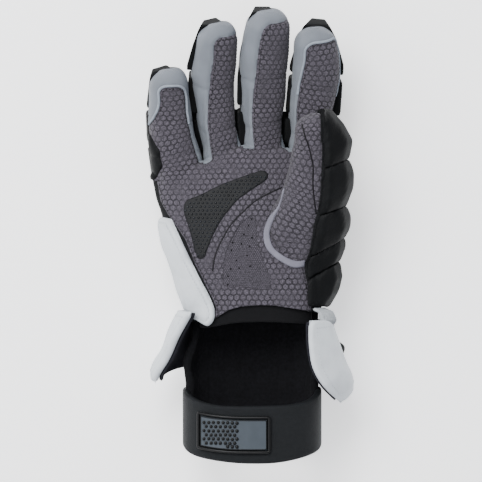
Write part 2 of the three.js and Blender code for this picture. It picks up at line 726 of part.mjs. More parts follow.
function makeFingerRoll(index, row) {
  const finger = fingers[index];
  const [from, to] = [1 - row.to, 1 - row.from];
  const shares = [from, from + ROLL_SHOULDER, to - ROLL_SHOULDER, to];
  const domeStart = 1 - finger.dome / finger.length;
  const rings = shares.map((share, i) => {
    const frame = limbFrame(finger, share);
    const past = THREE.MathUtils.clamp((share - domeStart) / (1 - domeStart), 0, 1);
    const taper = Math.sqrt(1 - (ROLL_TAPER * past) ** 2);
    const end = i === 0 || i === shares.length - 1 ? ROLL_END : 1;
    const foam = FINGER_FOAM * THREE.MathUtils.lerp(end, ROLL_NOSE, past);
    const side = (frame.halfWidth + ROLL_LAP) * taper;
    const crown = frame.halfWidth * ROLL_CROWN * taper;
    const back = -frame.halfDepth;
    return [
      limbPoint(frame, -side, 0.1 * back),
      limbPoint(frame, -side, 0.85 * back),
      limbPoint(frame, -crown, back - foam),
      limbPoint(frame, crown, back - foam),
      limbPoint(frame, side, 0.85 * back),
      limbPoint(frame, side, 0.1 * back),
    ];
  });
  return mainBody(loft(rings).intersect(fingerZone(index, SEAM_GAP, FAR)).subtract(clearOfAll));
}

// Foam segments outside the thumb and the hand below it

const SIDE_PAD_X = 0.46; // inner edge of the side segments under the hand, share of HAND_WIDTH
const SIDE_PAD_LOW = 0.3; // lowest point of the side segments, share of PAD_FOAM
const THUMB_FREE = { from: 0.62, over: 0.2 }; // where the thumb leaves the hand, shares of HAND_LENGTH
const SEGMENT_RISE = { seam: 0.1, shoulder: 0.27 }; // height over the thumb, shares of THUMB_FOAM
const SEGMENT_ROOT = 0.2; // inner edge of a segment, share of the thumb's half width
const SEGMENT_END = 0.18; // how much a segment's foam thins towards its ends
const SEGMENT_STEPS = 3;

// Lean of the creases between the segments. along: share of HAND_LENGTH. lean: rise over run.
const CREASE_LEANS = [
  { along: 0, lean: 0 },
  { along: 0.19, lean: 0.55 },
  { along: 0.35, lean: 0.55 },
  { along: 0.59, lean: 0.35 },
  { along: 0.87, lean: 0.4 },
  { along: 1.205, lean: 0 },
];

// Cross-section of the outer segments at a height on the page.
function thumbPadRing(y, foam) {
  const shares = spread(0, 1, 24);
  const centres = shares.map((share) => limbFrame(thumb, share));
  const rows = centres.map((frame) => ({
    y: frame.centre.y, x: frame.centre.x, z: frame.centre.z, w: frame.halfWidth, d: frame.halfDepth,
  }));
  const value = (column) => tableAt(rows, 'y', column, y);
  const along = y / HAND_LENGTH;
  const hand = handSection(THREE.MathUtils.clamp(along, 0, 1));
  const [x, z, w, d] = ['x', 'z', 'w', 'd'].map(value);
  const free = THREE.MathUtils.clamp((along - THUMB_FREE.from) / THUMB_FREE.over, 0, 1);
  const outer = Math.max(x + w, (hand.x + hand.halfWidth) * (1 - free)) + foam;
  const floor = THREE.MathUtils.lerp(SIDE_PAD_LOW * PAD_FOAM, z - d - 0.4 * THUMB_FOAM, free);
  const top = z + d;
  const lean = tableAt(CREASE_LEANS, 'along', 'lean', along);
  return [
    [x + THUMB_SEAM * w, top + SEGMENT_RISE.seam * THUMB_FOAM],
    [x + 0.75 * w, top + SEGMENT_RISE.shoulder * THUMB_FOAM],
    [outer - 0.35 * THUMB_FOAM, top - 0.22 * d],
    [outer, z - 0.1 * d],
    [outer - 0.1 * THUMB_FOAM, THREE.MathUtils.lerp(z - d, floor, 0.5)],
    [outer - 0.6 * THUMB_FOAM, floor],
    [x + SEGMENT_ROOT * w, floor],
    [x + SEGMENT_ROOT * w, z],
  ].map(([px, pz]) => new THREE.Vector3(px, y + lean * (px - x - w), pz));
}

function makeThumbPad(row) {
  const y0 = row.y0 * HAND_LENGTH + THUMB_SPLIT / 2;
  const y1 = row.y1 * HAND_LENGTH - THUMB_SPLIT / 2;
  const rings = spread(0, 1, SEGMENT_STEPS).map((share) => {
    const swell = 1 - SEGMENT_END * (2 * share - 1) ** 4;
    const foam = THUMB_FOAM * quadratic(row.low, row.mid, row.high, share) * swell;
    return thumbPadRing(THREE.MathUtils.lerp(y0, y1, share), foam);
  });
  const sole = new THREE.BoxGeometry(FAR, 2 * FAR, FAR);
  const edge = SIDE_PAD_X * HAND_WIDTH + SEAM_GAP;
  sole.translate(edge - FAR / 2, 0, SPLIT_HEIGHT + SEAM_GAP - FAR / 2);
  return loft(rings).subtract(clearOfAll).subtract(solidOf(sole));
}

// The wrist: a loop of strap in front, a liner round the back, and the cuff outside them

const LOOP_X = 0.012; // centre of the wrist loop as a share of HAND_WIDTH
const LOOP_FLOOR = CUFF_FOAM + 2 * SEAM_GAP;
const LOOP_STEPS = 12;

function loopPoint(angle, y, inset, widen = 0) {
  const offset = ovalOffset(STRAP_SPAN / 2 - inset + widen, STRAP_DEPTH / 2 - inset, angle);
  return new THREE.Vector3(
    LOOP_X * HAND_WIDTH + offset.x,
    y,
    LOOP_FLOOR + STRAP_DEPTH / 2 + offset.z,
  );
}

// Wall round part of the loop, between two insets, with edges given by functions of the angle.
function loopWall(from, to, upper, lower, inset, thickness, steps = LOOP_STEPS, rows = 1) {
  const grid = (depth) => spread(0, 1, rows).map((share) => (
    spread(radians(from), radians(to), steps).map((angle) => (
      loopPoint(angle, THREE.MathUtils.lerp(upper(angle), lower(angle), share), depth)
    ))
  ));
  return wall(grid(inset), grid(inset + thickness));
}

const STRAP_WRAP = 100; // angle to each side of the front that the strap reaches
const strapTop = (angle) => -STRAP_DROP + STRAP_TILT * (1 - Math.cos(angle));

function makeStrap() {
  const lower = (angle) => strapTop(angle) - STRAP_WIDTH;
  return loopWall(-STRAP_WRAP, STRAP_WRAP, strapTop, lower, 0, STRAP_FOAM, 18);
}

// The liner lies inside the strap's ends and runs up into the hand.
const LINER_WRAP = 84; // degrees from the front at which the liner starts
const LINER_TUCK = 9; // how far the liner runs up into the hand
const LINER_ROWS = 4;
const LINER_EASE = { from: 0.1, to: 0.5 }; // where the liner leaves the hand and meets the strap

function makeLiner() {
  const wrist = handSection(0);
  const grid = (depth) => spread(0, 1, LINER_ROWS).map((share) => {
    const y = THREE.MathUtils.lerp(LINER_TUCK, -LINER_LENGTH, share);
    const blend = THREE.MathUtils.smoothstep(share, LINER_EASE.from, LINER_EASE.to);
    return spread(radians(LINER_WRAP), radians(360 - LINER_WRAP), LOOP_STEPS).map((angle) => {
      const low = loopPoint(angle, y, STRAP_FOAM + SEAM_GAP + depth);
      const inset = CLOTH + SEAM_GAP + depth;
      const offset = ovalOffset(wrist.halfWidth - inset, wrist.halfDepth - inset, angle);
      const high = new THREE.Vector3(wrist.x + offset.x, y, wrist.z + offset.z);
      return high.lerp(low, blend);
    });
  });
  return wall(grid(0), grid(LINER_FOAM)).subtract(clearOfWristCloth());
}

// Cloth of the hand near the wrist, with a seam's clearance all round.
function clearOfWristCloth() {
  return handBody(SEAM_GAP).subtract(handBody(-CLOTH - SEAM_GAP, OPEN_PAST));
}

// The collar hangs out of the palm's edge. Its ends are shares of COLLAR_LENGTH.
const COLLAR_WRAP = 62; // degrees to each side of the front
const COLLAR_STEPS = 7;
const COLLAR_ENDS = [0.4, -0.7];

function makeCollar() {
  const wrist = handSection(0);
  const grid = (depth) => COLLAR_ENDS.map((share) => (
    spread(radians(-COLLAR_WRAP), radians(COLLAR_WRAP), COLLAR_STEPS).map((angle) => {
      const inset = CLOTH + SEAM_GAP + depth;
      const offset = ovalOffset(wrist.halfWidth - inset, wrist.halfDepth - inset, angle);
      return new THREE.Vector3(wrist.x + offset.x, share * COLLAR_LENGTH, wrist.z + offset.z);
    })
  ));
  return wall(grid(0), grid(COLLAR_CLOTH)).subtract(clearOfWristCloth());
}

// The patch on the strap: a plate in a raised rim

const PATCH_CENTRE = -0.0885; // share of HAND_WIDTH
const PATCH_STEPS = 5;
const PATCH_LIMIT = 0.98; // how far round the strap's front the patch may reach, share of its span
const RIM_RISE = 1; // how far the rim stands over the plate

// Wall on the front of the strap, between two heights over it.
function strapFrontWall(halfLength, halfHeight, low, high) {
  const centre = PATCH_CENTRE * HAND_WIDTH - LOOP_X * HAND_WIDTH;
  const angleAt = (x) => {
    const reach = STRAP_SPAN / 2 + SEAM_GAP;
    const share = THREE.MathUtils.clamp(x / reach, -PATCH_LIMIT, PATCH_LIMIT);
    return Math.asin(Math.sign(share) * Math.abs(share) ** (OVAL_POWER / 2));
  };
  const from = THREE.MathUtils.radToDeg(angleAt(centre - halfLength));
  const to = THREE.MathUtils.radToDeg(angleAt(centre + halfLength));
  const middle = (angle) => strapTop(angle) - STRAP_WIDTH / 2;
  const upper = (angle) => middle(angle) + halfHeight;
  const lower = (angle) => middle(angle) - halfHeight;
  return loopWall(from, to, upper, lower, -high, high - low, PATCH_STEPS);
}

function makePatchPlate() {
  const inset = PATCH_RIM + SEAM_GAP;
  const [halfLength, halfHeight] = [PATCH_LENGTH / 2 - inset, PATCH_HEIGHT / 2 - inset];
  return strapFrontWall(halfLength, halfHeight, SEAM_GAP, SEAM_GAP + PATCH_PLATE);
}

function makePatchFrame() {
  const [halfLength, halfHeight] = [PATCH_LENGTH / 2, PATCH_HEIGHT / 2];
  const high = SEAM_GAP + PATCH_PLATE + RIM_RISE;
  const outer = strapFrontWall(halfLength, halfHeight, SEAM_GAP, high);
  const [innerLength, innerHeight] = [halfLength - PATCH_RIM, halfHeight - PATCH_RIM];
  return outer.subtract(strapFrontWall(innerLength, innerHeight, -RIM_RISE, high + RIM_RISE));
}

// The wings of the cuff: curved padded leaves that flare from the hand.
// share: down the wing. rim: degrees from the front to its free edge. flare: how far it stands
// off the wrist loop, as a share of WING_FLARE.
const WING_PINKY = [
  { share: 0, rim: 62, flare: -0.43 },
  { share: 0.3, rim: 60, flare: 0.07 },
  { share: 0.65, rim: 58, flare: 0.5 },
  { share: 0.9, rim: 60, flare: 1 },
  { share: 1, rim: 66, flare: 1 },
];
const WING_THUMB = [
  { share: 0, rim: 42, flare: -0.14 },
  { share: 0.3, rim: 40, flare: 0.21 },
  { share: 0.65, rim: 44, flare: 0.64 },
  { share: 0.9, rim: 56, flare: 1 },
  { share: 1, rim: 66, flare: 1 },
];

// Where the wings lie. top: start at the hand. rimEnd, backEnd: how low the free edge and the back
// reach. All three are shares of CUFF_LENGTH.
const WING_PLACES = {
  pinky: { rows: WING_PINKY, side: -1, top: -0.05, rimEnd: -0.92, backEnd: -0.62 },
  thumb: { rows: WING_THUMB, side: 1, top: -0.16, rimEnd: -1.1, backEnd: -0.86 },
};
const WING_BACK_ANGLE = 146; // where a wing meets the back pad of the cuff, from the front
const WING_CLEAR = 1; // between the strap loop and the inside of a wing

const WING_COLUMNS = 7;
const WING_ROWS = 5;
function wingWall(place, low, high, hidden = 0) {
  const { rows, side, top, rimEnd, backEnd } = place;
  const grid = (depth) => spread(0, 1, WING_ROWS).map((share) => {
    const rim = tableAt(rows, 'share', 'rim', share);
    const flare = WING_FLARE * tableAt(rows, 'share', 'flare', share);
    const columns = spread(0, 1, WING_COLUMNS).slice(0, WING_COLUMNS + 1 - hidden);
    return columns.map((around) => {
      const angle = radians(THREE.MathUtils.lerp(WING_BACK_ANGLE, rim, around));
      const end = CUFF_LENGTH * THREE.MathUtils.lerp(backEnd, rimEnd, around ** 2);
      const y = THREE.MathUtils.lerp(top * CUFF_LENGTH, end, share);
      const widen = flare * Math.sin(angle) ** 2 * THREE.MathUtils.smoothstep(around, 0, 0.6);
      return loopPoint(side * angle, y, -WING_CLEAR - depth, widen);
    });
  });
  return wall(grid(high), grid(low));
}

const WING_THICKNESS = WING_LINING + SEAM_GAP + WING_SHELL;
function makeWingShell(place) {
  return wingWall(place, WING_LINING + SEAM_GAP, WING_THICKNESS)
    .subtract(clearOfAll)
    .subtract(clearOfHeel);
}
const makeWingLining = (place) => (
  wingWall(place, 0, WING_LINING, 1).subtract(clearOfAll).subtract(clearOfHeel)
);

// The pad at the back of the cuff, which carries the liner and the wings
const CUFF_TOP = -0.06; // share of CUFF_LENGTH
const CUFF_HALF_WIDTH = 0.29; // share of HAND_WIDTH

function makeCuffBackPad(keepClear) {
  const half = CUFF_HALF_WIDTH * HAND_WIDTH - PAD_CHAMFER;
  const middle = LOOP_X * HAND_WIDTH;
  const top = CUFF_TOP * CUFF_LENGTH - PAD_CHAMFER;
  const bottom = -CUFF_LENGTH - PAD_CHAMFER;
  const shape = new THREE.Shape(cutRectangle(middle - half, middle + half, bottom, top, PAD_CORNER));
  const geometry = new THREE.ExtrudeGeometry(shape, {
    depth: STRAP_DEPTH / 2,
    bevelThickness: PAD_CHAMFER,
    bevelSize: PAD_CHAMFER,
    bevelSegments: 1,
  });
  geometry.translate(0, 0, PAD_CHAMFER);
  return solidOf(geometry).subtract(keepClear).subtract(clearOfAll);
}

// Everything that lies over the cuff's back pad, with a seam's clearance.
function cuffKeepClear() {
  const ring = (y) => spread(0, 2 * Math.PI, 2 * LOOP_STEPS).slice(0, -1)
    .map((angle) => loopPoint(angle, y, -SEAM_GAP));
  const wings = Object.values(WING_PLACES)
    .map((place) => wingWall(place, -SEAM_GAP, WING_THICKNESS + SEAM_GAP));
  const pads = BACK_PADS.map((row) => makeBackPad(row));
  return joined([loft([ring(-2 * LINER_LENGTH), ring(OPEN_PAST)]), ...wings, ...pads]);
}

// Gathered cloth between the thumb-side pads and the cuff. y: share of HAND_LENGTH. puff: share
// of GORE_PUFF.
const GORE_FROM = 50; // degrees from the front
const GORE_TO = 84;
const GORE_STEPS = 5;
const GORE_RIBS = [
  { y: -0.003, puff: 0 },
  { y: -0.03, puff: 0.67 },
  { y: -0.1, puff: 1 },
  { y: -0.14, puff: 0.78 },
];

function makeGore() {
  const wrist = handSection(0);
  const grid = (grow) => GORE_RIBS.map(({ y, puff }) => (
    spread(radians(GORE_FROM), radians(GORE_TO), GORE_STEPS).map((angle) => {
      const size = grow + SEAM_GAP + puff * GORE_PUFF;
      const offset = ovalOffset(wrist.halfWidth + size, wrist.halfDepth + size, angle);
      return new THREE.Vector3(wrist.x + offset.x, y * HAND_LENGTH, wrist.z + offset.z);
    })
  ));
  const wing = wingWall(WING_PLACES.thumb, -SEAM_GAP, WING_THICKNESS + SEAM_GAP);
  return wall(grid(CLOTH), grid(0)).subtract(clearOfAll).subtract(wing);
}

// Materials

function cloth(colour, roughness) {
  return new THREE.MeshStandardMaterial({ color: colour, roughness, metalness: 0 });
}

const MATERIALS = {
  palmSuede: cloth(0x6a6269, 0.9),
  silverGusset: cloth(0xa3a8ae, 0.75),
  blackPad: cloth(0x2b2d2f, 0.7),
  backing: cloth(0x1d1e20, 0.95),
  whiteLeather: cloth(0xd5d9dc, 0.5),
  gripPrint: cloth(0x2f3136, 0.4),
  liner: cloth(0x141518, 0.95),
  strap: cloth(0x2a2c2d, 0.6),
  patchRubber: cloth(0x666b71, 0.45),
};

const glove = new THREE.Group();

function addPiece(name, solid, material) {
  const { numProp, vertProperties, triVerts } = solid.getMesh();
  const positions = new Float32Array((vertProperties.length / numProp) * 3);
  for (let i = 0; i * numProp < vertProperties.length; i += 1) {
    positions.set(vertProperties.subarray(i * numProp, i * numProp + 3), 3 * i);
  }
  const geometry = new THREE.BufferGeometry();
  geometry.setAttribute('position', new THREE.BufferAttribute(positions, 3));
  geometry.setIndex(new THREE.BufferAttribute(Uint32Array.from(triVerts), 1));
  geometry.computeVertexNormals();
  const mesh = new THREE.Mesh(geometry, material);
  mesh.name = name;
  glove.add(mesh);
}

addPiece('palm', makePalm(), MATERIALS.palmSuede);
addPiece('palm_grip_patch', makeGripPatch(), MATERIALS.gripPrint);
addPiece('thumb_band', makeThumbBand(), MATERIALS.silverGusset);
addPiece('hand_back', makeHandBack(), MATERIALS.backing);
fingers.forEach((finger, i) => {
  addPiece(`${finger.name}_gusset`, makeGusset(i), MATERIALS.silverGusset);
  addPiece(`${finger.name}_back`, makeFingerBack(i), MATERIALS.backing);
  for (const row of FINGER_ROLLS) {
    addPiece(`${finger.name}_roll_${row.name}`, makeFingerRoll(i, row), MATERIALS.blackPad);
  }
});
addPiece('thumb_palm', makeThumbPalm(), MATERIALS.palmSuede);
addPiece('thumb_back', makeThumbBack(), MATERIALS.backing);
for (const row of THUMB_PADS) addPiece(row.name, makeThumbPad(row), MATERIALS.blackPad);
for (const row of BACK_PADS) addPiece(row.name, makeBackPad(row), MATERIALS.blackPad);
addPiece('heel_panel', makeHeelPanel(), MATERIALS.whiteLeather);
addPiece('palm_collar', makeCollar(), MATERIALS.liner);
addPiece('wrist_gore', makeGore(), MATERIALS.whiteLeather);
addPiece('wrist_liner', makeLiner(), MATERIALS.liner);
addPiece('cuff_back_pad', makeCuffBackPad(cuffKeepClear()), MATERIALS.blackPad);
addPiece('wrist_strap', makeStrap(), MATERIALS.strap);
addPiece('strap_patch', makePatchPlate(), MATERIALS.patchRubber);
addPiece('strap_patch_frame', makePatchFrame(), MATERIALS.strap);
for (const [name, place] of Object.entries(WING_PLACES)) {
  addPiece(`cuff_wing_${name}_shell`, makeWingShell(place), MATERIALS.whiteLeather);
  addPiece(`cuff_wing_${name}_lining`, makeWingLining(place), MATERIALS.liner);
}

// Stands the glove over the origin, with the middle of its box at X 0 and Y 0 and its foot at Z 0.
const box = new THREE.Box3().setFromObject(glove);
const centre = box.getCenter(new THREE.Vector3());
glove.position.set(-centre.x, -centre.y, -box.min.z);
glove.updateMatrixWorld(true);

export default glove;
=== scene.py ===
"""Dresses the fixed frame of a right-hand lacrosse glove in cloth, foam and stitching."""

import math
from functools import cache

import bmesh
import bpy
import numpy as np
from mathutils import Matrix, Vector
from mathutils.bvhtree import BVHTree


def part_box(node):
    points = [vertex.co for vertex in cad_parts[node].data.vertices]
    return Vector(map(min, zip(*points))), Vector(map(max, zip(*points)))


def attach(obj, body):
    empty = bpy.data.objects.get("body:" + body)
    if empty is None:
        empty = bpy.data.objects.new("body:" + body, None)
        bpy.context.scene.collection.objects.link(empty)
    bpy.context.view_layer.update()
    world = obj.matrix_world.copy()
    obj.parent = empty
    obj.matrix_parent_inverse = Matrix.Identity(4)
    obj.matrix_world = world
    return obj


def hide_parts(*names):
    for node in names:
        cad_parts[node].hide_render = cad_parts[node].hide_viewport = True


bl_info = {
    "name": "Lacrosse Glove",
    "version": (1, 0, 0),
    "blender": (4, 5, 0),
    "location": "3D View > Sidebar > Glove",
    "description": "Makes the visible pieces of a lacrosse glove round its fixed frame",
    "category": "Object",
}

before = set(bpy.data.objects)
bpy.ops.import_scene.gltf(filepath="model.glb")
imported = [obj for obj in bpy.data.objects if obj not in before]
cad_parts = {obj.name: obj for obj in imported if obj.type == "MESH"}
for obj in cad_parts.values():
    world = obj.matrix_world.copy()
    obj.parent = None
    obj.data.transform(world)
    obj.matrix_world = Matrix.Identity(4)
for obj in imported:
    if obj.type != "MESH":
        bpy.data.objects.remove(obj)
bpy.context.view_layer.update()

# Sizes of the frame, in millimetres. Y is 0 at the wrist edge of the palm, Z is 0 under the pads.
MM = 0.001
HAND_LENGTH = 118
HAND_WIDTH = 130
HAND_DEPTH = 50
CLOTH = 2
FINGER_REACH = 130
FINGER_WIDTH = 34
FINGER_DEPTH = 29
FINGER_CURL = 34
FINGER_DOME = 0.42 * FINGER_WIDTH
FINGER_ROOT = 37  # height of the fingers' roots
THUMB_WIDTH = 37
THUMB_DEPTH = 28
THUMB_DOME = 0.33 * THUMB_WIDTH
PAD_FOAM = 20
HEEL_FOAM = 4
SPLIT_HEIGHT = PAD_FOAM + 0.44 * HAND_DEPTH
STRAP_WIDTH = 41
STRAP_FOAM = 5
STRAP_SPAN = 101
STRAP_DEPTH = 66
STRAP_DROP = 71
STRAP_TILT = 12
STRAP_WRAP = 100
LINER_FOAM = 6
LINER_LENGTH = 92
LINER_TUCK = 9
LINER_WRAP = 84
COLLAR_LENGTH = 16
COLLAR_CLOTH = 2.5
WING_SHELL = 5.5
WING_LINING = 2.7
WING_FLARE = 14
WING_BACK_ANGLE = 146
CUFF_LENGTH = 58
LOOP_X = 0.012 * HAND_WIDTH
LOOP_FLOOR = 14.6
SEAM_GAP = 0.3
OVAL_POWER = 2.5
PATCH_LENGTH = 52
PATCH_HEIGHT = 27
PATCH_PLATE = 1.6
PATCH_CENTRE = -0.0885 * HAND_WIDTH
GORE_PUFF = 9

# A pixel of the photograph in millimetres, and the pixel where X and Y are 0
PIXEL = 0.725
PHOTO_X = 250
PHOTO_Y = 307
PHOTO_SIZE = 482


def frame_origin():
    """Where the glove's zero point lies in the frame, in millimetres."""
    strap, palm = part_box("wrist_strap"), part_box("palm")
    middle = (strap[0].x + strap[1].x) / 2
    return np.array([middle / MM - LOOP_X, palm[0].y / MM, 0.0])


ORIGIN = frame_origin()

# Sections of the hand: along the hand, centre, width, depth and bow, as shares
HAND_SECTIONS = (
    (0, 0.031, 0.74, 1, 0),
    (0.19, 0.013, 0.835, 0.98, 0),
    (0.38, -0.002, 0.92, 0.93, 0),
    (0.6, -0.015, 0.955, 0.84, 0.2),
    (0.78, -0.037, 0.985, 0.76, 0.6),
    (0.95, -0.044, 1.005, 0.68, 1),
)
# Line of the finger crotches: across the hand, along the hand
CROTCH_LINE = ((-0.6, 0.8), (-0.4, 0.86), (-0.26, 0.9), (-0.06, 1), (0.19, 0.985), (0.5, 0.93))
CROTCH_SEAM = 2.5
CROTCH_LAP = 5

# Fingers: name, Y of the root, reach, depth at the root, middle and tip, roll in degrees, and
# how far the fingertip leans to the thumb's side
FINGERS = (
    ("pinky", 0.66, 0.735, (1, 0.96, 0.79), 8, 4.5),
    ("ring", 0.746, 0.915, (0.92, 0.93, 0.84), 18, 5),
    ("middle", 0.763, 0.97, (0.89, 0.98, 0.93), 18, 2.5),
    ("index", 0.746, 0.885, (0.95, 0.99, 0.86), 6, 0),
)
# Both edges of each finger in the photograph, from the root up: row, left, right
FINGER_EDGES = {
    "pinky": ((200, 160, 207), (180, 157, 204), (158, 153.2, 201), (150, 152, 198),
              (138, 150, 194.2), (127, 148.3, 192.2),
              (116, 147.8, 191.5), (107, 148.3, 190.6), (92, 149, 188.6), (65, 151, 187.5)),
    "ring": ((186, 206, 246), (165, 205.5, 244.5), (150, 202.2, 241.8), (138, 198.8, 239),
             (127, 196, 235.4), (107, 192.8, 234), (86, 191, 234.5), (73, 191, 235),
             (61, 193.5, 235.6), (44, 196.5, 236.8), (18, 198, 238)),
    "middle": ((184, 246, 285.5), (150, 246, 285.3), (140, 243.6, 283.8), (127, 240.8, 282.2),
               (107, 238, 283.4),
               (92, 237.8, 285.5), (76, 238.5, 286.8), (61, 239.5, 288), (43, 242.4, 288.8),
               (26, 246.5, 289.3), (5, 246.5, 290)),
    "index": ((186, 282, 322.5), (150, 290, 331), (138, 288, 332), (124, 286.6, 332.3),
              (110, 286.6, 332.5),
              (92, 289, 336), (76, 291.2, 339.4), (61, 293, 339.6), (44, 294, 336.6),
              (20, 294, 334)),
}
# Facets of the moulded cap on each fingertip, clockwise in the photograph's pixels
CAP_FACETS = {
    "pinky": ((145, 112), (147.4, 94), (149, 80), (152.3, 69), (166, 64.3), (169, 66), (185, 85)),
    "ring": ((186, 68), (193, 45), (198.4, 31), (203.8, 20.5), (215.8, 17), (223.5, 22.5),
             (237, 42)),
    "middle": ((238, 60), (243, 40), (248.4, 20), (255, 6.5), (270, 6.3), (273, 11), (290, 34)),
    "index": ((291, 60), (297, 40), (302.5, 28), (311.7, 17.9), (325, 19.2), (331.6, 30.6),
              (336, 39), (343.2, 62)),
}
# How far the rolls of a finger stand out on one side: side, and factors for tip, mid and base
ROLL_SPREAD = {"ring": (-1, 1.22, 1.14, 1.0), "index": (1, 1.3, 1.28, 1.08)}
TIP_REACH = {"index": 5.5}  # how much longer the cap of a fingertip looks than its frame
# Edges of the palm cloth round each finger: share of the finger, left and right edge in degrees
# from straight in front, and where the cloth ends as a share of the finger
FINGER_SEAMS = {
    "pinky": (((0.1, -100, 62), (0.43, -96, 55), (0.56, -90, 57), (0.62, -56, 55),
               (0.68, -38, 53), (0.82, -25, 55), (0.9, -30, 50)), 0.9),
    "ring": (((0.1, -42, 50), (0.22, -34, 56), (0.36, -24, 84), (0.51, -14, 97), (0.64, -6.5, 97),
              (0.77, -2.5, 97), (0.87, -5, 97), (0.95, -8, 97)), 0.935),
    "middle": (((0.1, -40, 50), (0.2, -33, 58), (0.32, -25, 84), (0.44, -20, 97), (0.55, -18, 97),
                (0.67, -14.5, 97), (0.76, -14, 97), (0.9, -12.5, 97)), 0.945),
    "index": (((0.1, -33, 88), (0.4, -33, 88), (0.56, -32, 88), (0.65, -32.5, 88),
               (0.75, -30.5, 88), (0.89, -27.5, 88), (0.95, -27, 88)), 0.93),
}
BACK_ANGLE = 66  # half the arc of the backing cloth behind a finger, in degrees
FINGER_JOINTS = (0.36, 0.63)  # shares of a finger where its cloth creases

# Thumb: X, Y, Z above the pads, width and depth, as shares
THUMB_STATIONS = (
    (0.25, 0.27, 0.6, 0.72, 0.9),
    (0.262, 0.37, 0.68, 1.08, 1),
    (0.276, 0.5, 0.77, 1.25, 1.03),
    (0.325, 0.69, 0.94, 1.03, 1),
    (0.348, 0.95, 1.14, 0.8, 0.93),
    (0.345, 1.05, 1.24, 0.71, 0.88),
)
THUMB_LEAN = 5
THUMB_SEAM = 0.45  # share of the half width where the cloth meets the pads

# Wings of the cuff: down the wing, rim in degrees from the front, flare as a share
WING_PINKY = ((0, 50, -0.43), (0.3, 62, 0.07), (0.65, 72, 0.5), (0.9, 76, 1), (1, 80, 1))
WING_THUMB = ((0, 42, -0.14), (0.3, 40, 0.21), (0.65, 44, 0.64), (0.9, 56, 1), (1, 66, 1))
WING_DROOP = 11  # how far the lower end of the thumb's wing curls down
# Each wing: its table, its side, and how far down the cuff its upper end lies, and its lower
# end at the rim and at the back, as shares of the cuff's length
WINGS = {
    "pinky": (WING_PINKY, -1, -0.05, -0.96, -0.72),
    "thumb": (WING_THUMB, 1, -0.16, -1.2, -0.9),
}
# Fullness of the gore: along the hand, share of its puff
GORE_RIBS = ((-0.01, 0), (-0.03, 0.67), (-0.08, 0.9), (-0.105, 0.75))

# Outlines drawn over the photograph, in its pixels
PALM_LEFT = ((150, 140), (155.8, 180), (158.7, 200), (166.6, 214), (178.2, 229), (185.7, 240.6),
             (194.8, 264), (201.4, 276), (208, 290), (213, 299.5), (215.5, 307), (215, 325))
PALM_RIGHT = ((345, 150), (320, 200), (313, 225), (309.7, 246), (305, 260), (304.7, 270),
              (308, 283), (309.7, 295), (311.4, 307), (312, 325))
WRIST_EDGE = ((205, 322), (214.7, 317.7), (229, 309.5), (241, 306), (260, 304.7), (275, 305.3),
              (291.5, 307.8), (306.4, 310.3), (325, 314))
HEEL_OUTLINE = ((171.6, 219), (181.5, 240), (193, 264), (201.4, 281), (208, 293), (212.2, 302),
                (214.6, 309.5), (214.3, 318.6), (208.5, 325.5), (199, 321.5), (185.2, 313),
                (140, 300), (140, 214))
GRIP_OUTLINE = ((187, 200), (202.4, 194), (219.8, 185.3), (238, 178.3), (254.6, 172.5),
                (261.3, 170.4), (266.2, 171.7), (268.3, 175), (267, 179), (263, 182.4),
                (250.5, 190.7), (238, 200), (229, 210), (223, 218), (213, 236), (207.4, 249.6),
                (204, 258), (199, 259), (195.8, 253), (192.4, 240.5), (189, 228), (185, 216),
                (183.7, 210), (185, 203))
BAND_OUTER = ((284, 187), (277.4, 208), (269, 218), (264, 229), (263.3, 237), (266.6, 249),
              (275, 257.5), (284, 263.5), (294, 267.6), (305, 266.5))
BAND_INNER = ((284.4, 188), (278.6, 208.6), (273, 220), (270, 229), (269.8, 237), (273, 247),
              (280.7, 254), (289.8, 259), (297, 261), (305, 260))
ARC_SEAM = ((284, 186.6), (271, 192.4), (254.6, 201.5), (242, 213), (231.4, 224), (223, 238),
            (217.3, 249.6), (214, 261), (212.8, 271))
VENT_OUTLINE = ((223, 272), (224, 261), (226.4, 251), (231, 240), (237, 229), (244.7, 220),
                (251.3, 216), (256, 221), (256.5, 231), (258.5, 245), (263, 258), (268, 272),
                (270.4, 287), (242, 287), (224, 285))
VENT_HOLES = ((251.7, 219), (248.4, 225.6), (243.8, 234.7), (252, 237.6), (232.7, 242.6),
              (241.4, 243.8), (249.7, 246.3), (231.4, 250), (247, 255.4), (236.4, 260.4),
              (230.6, 268.7), (228, 276), (227.7, 284.4), (269.7, 297.4), (299, 203),
              (289.7, 242.6), (287, 278.4), (301, 152), (239, 268), (250, 266))
THUMB_CREASE = ((301, 125.5), (303.6, 136), (307.4, 147), (310.6, 159), (312.2, 168),
                (312.2, 186), (313.5, 200), (315.5, 214))
GUARD_OUTLINE = ((140, 122), (149.2, 133), (151.5, 136.5), (156, 145), (160, 151), (160.6, 159),
                 (162.6, 166), (158.4, 173), (156.8, 177), (140, 180))

VOXELS = {"hand": (1.2, 2.2), "thumb": (1.3, 2.2), "roll": (0.9, 1.8), "pad": (2.05, 2.6)}
SLIM = 1.5  # how much the forms are slimmed while they are joined, so that close fingers stay apart
WEB_HEIGHTS = {"pinky": 38, "ring": 26, "middle": 26}  # of the web beside each finger
LINING_TUCK = {"pinky": 13, "thumb": 2}  # how far the upper end of a wing's lining tucks inwards
THUMB_PAD_GROWTH = 1.4  # lengthways, so that the thumb's pads meet at their creases
FLOOR_GAP = 0.1  # least height of the pads that the glove lies on
ABOVE_ALL = 200  # height from which a surface is looked for
BAND_REACH = 110  # longer than the band of the thumb's foot
VENT_SINK = 0.45
DOT_PITCH, DOT_RADIUS, DOT_HEIGHT = 3.1, 0.95, 0.6
STUD_PITCH, STUD_RADIUS, STUD_HEIGHT = 3.4, 1.45, 0.7
STUD_FIELD = 0.58  # share of the plate that the studs cover, from its left end
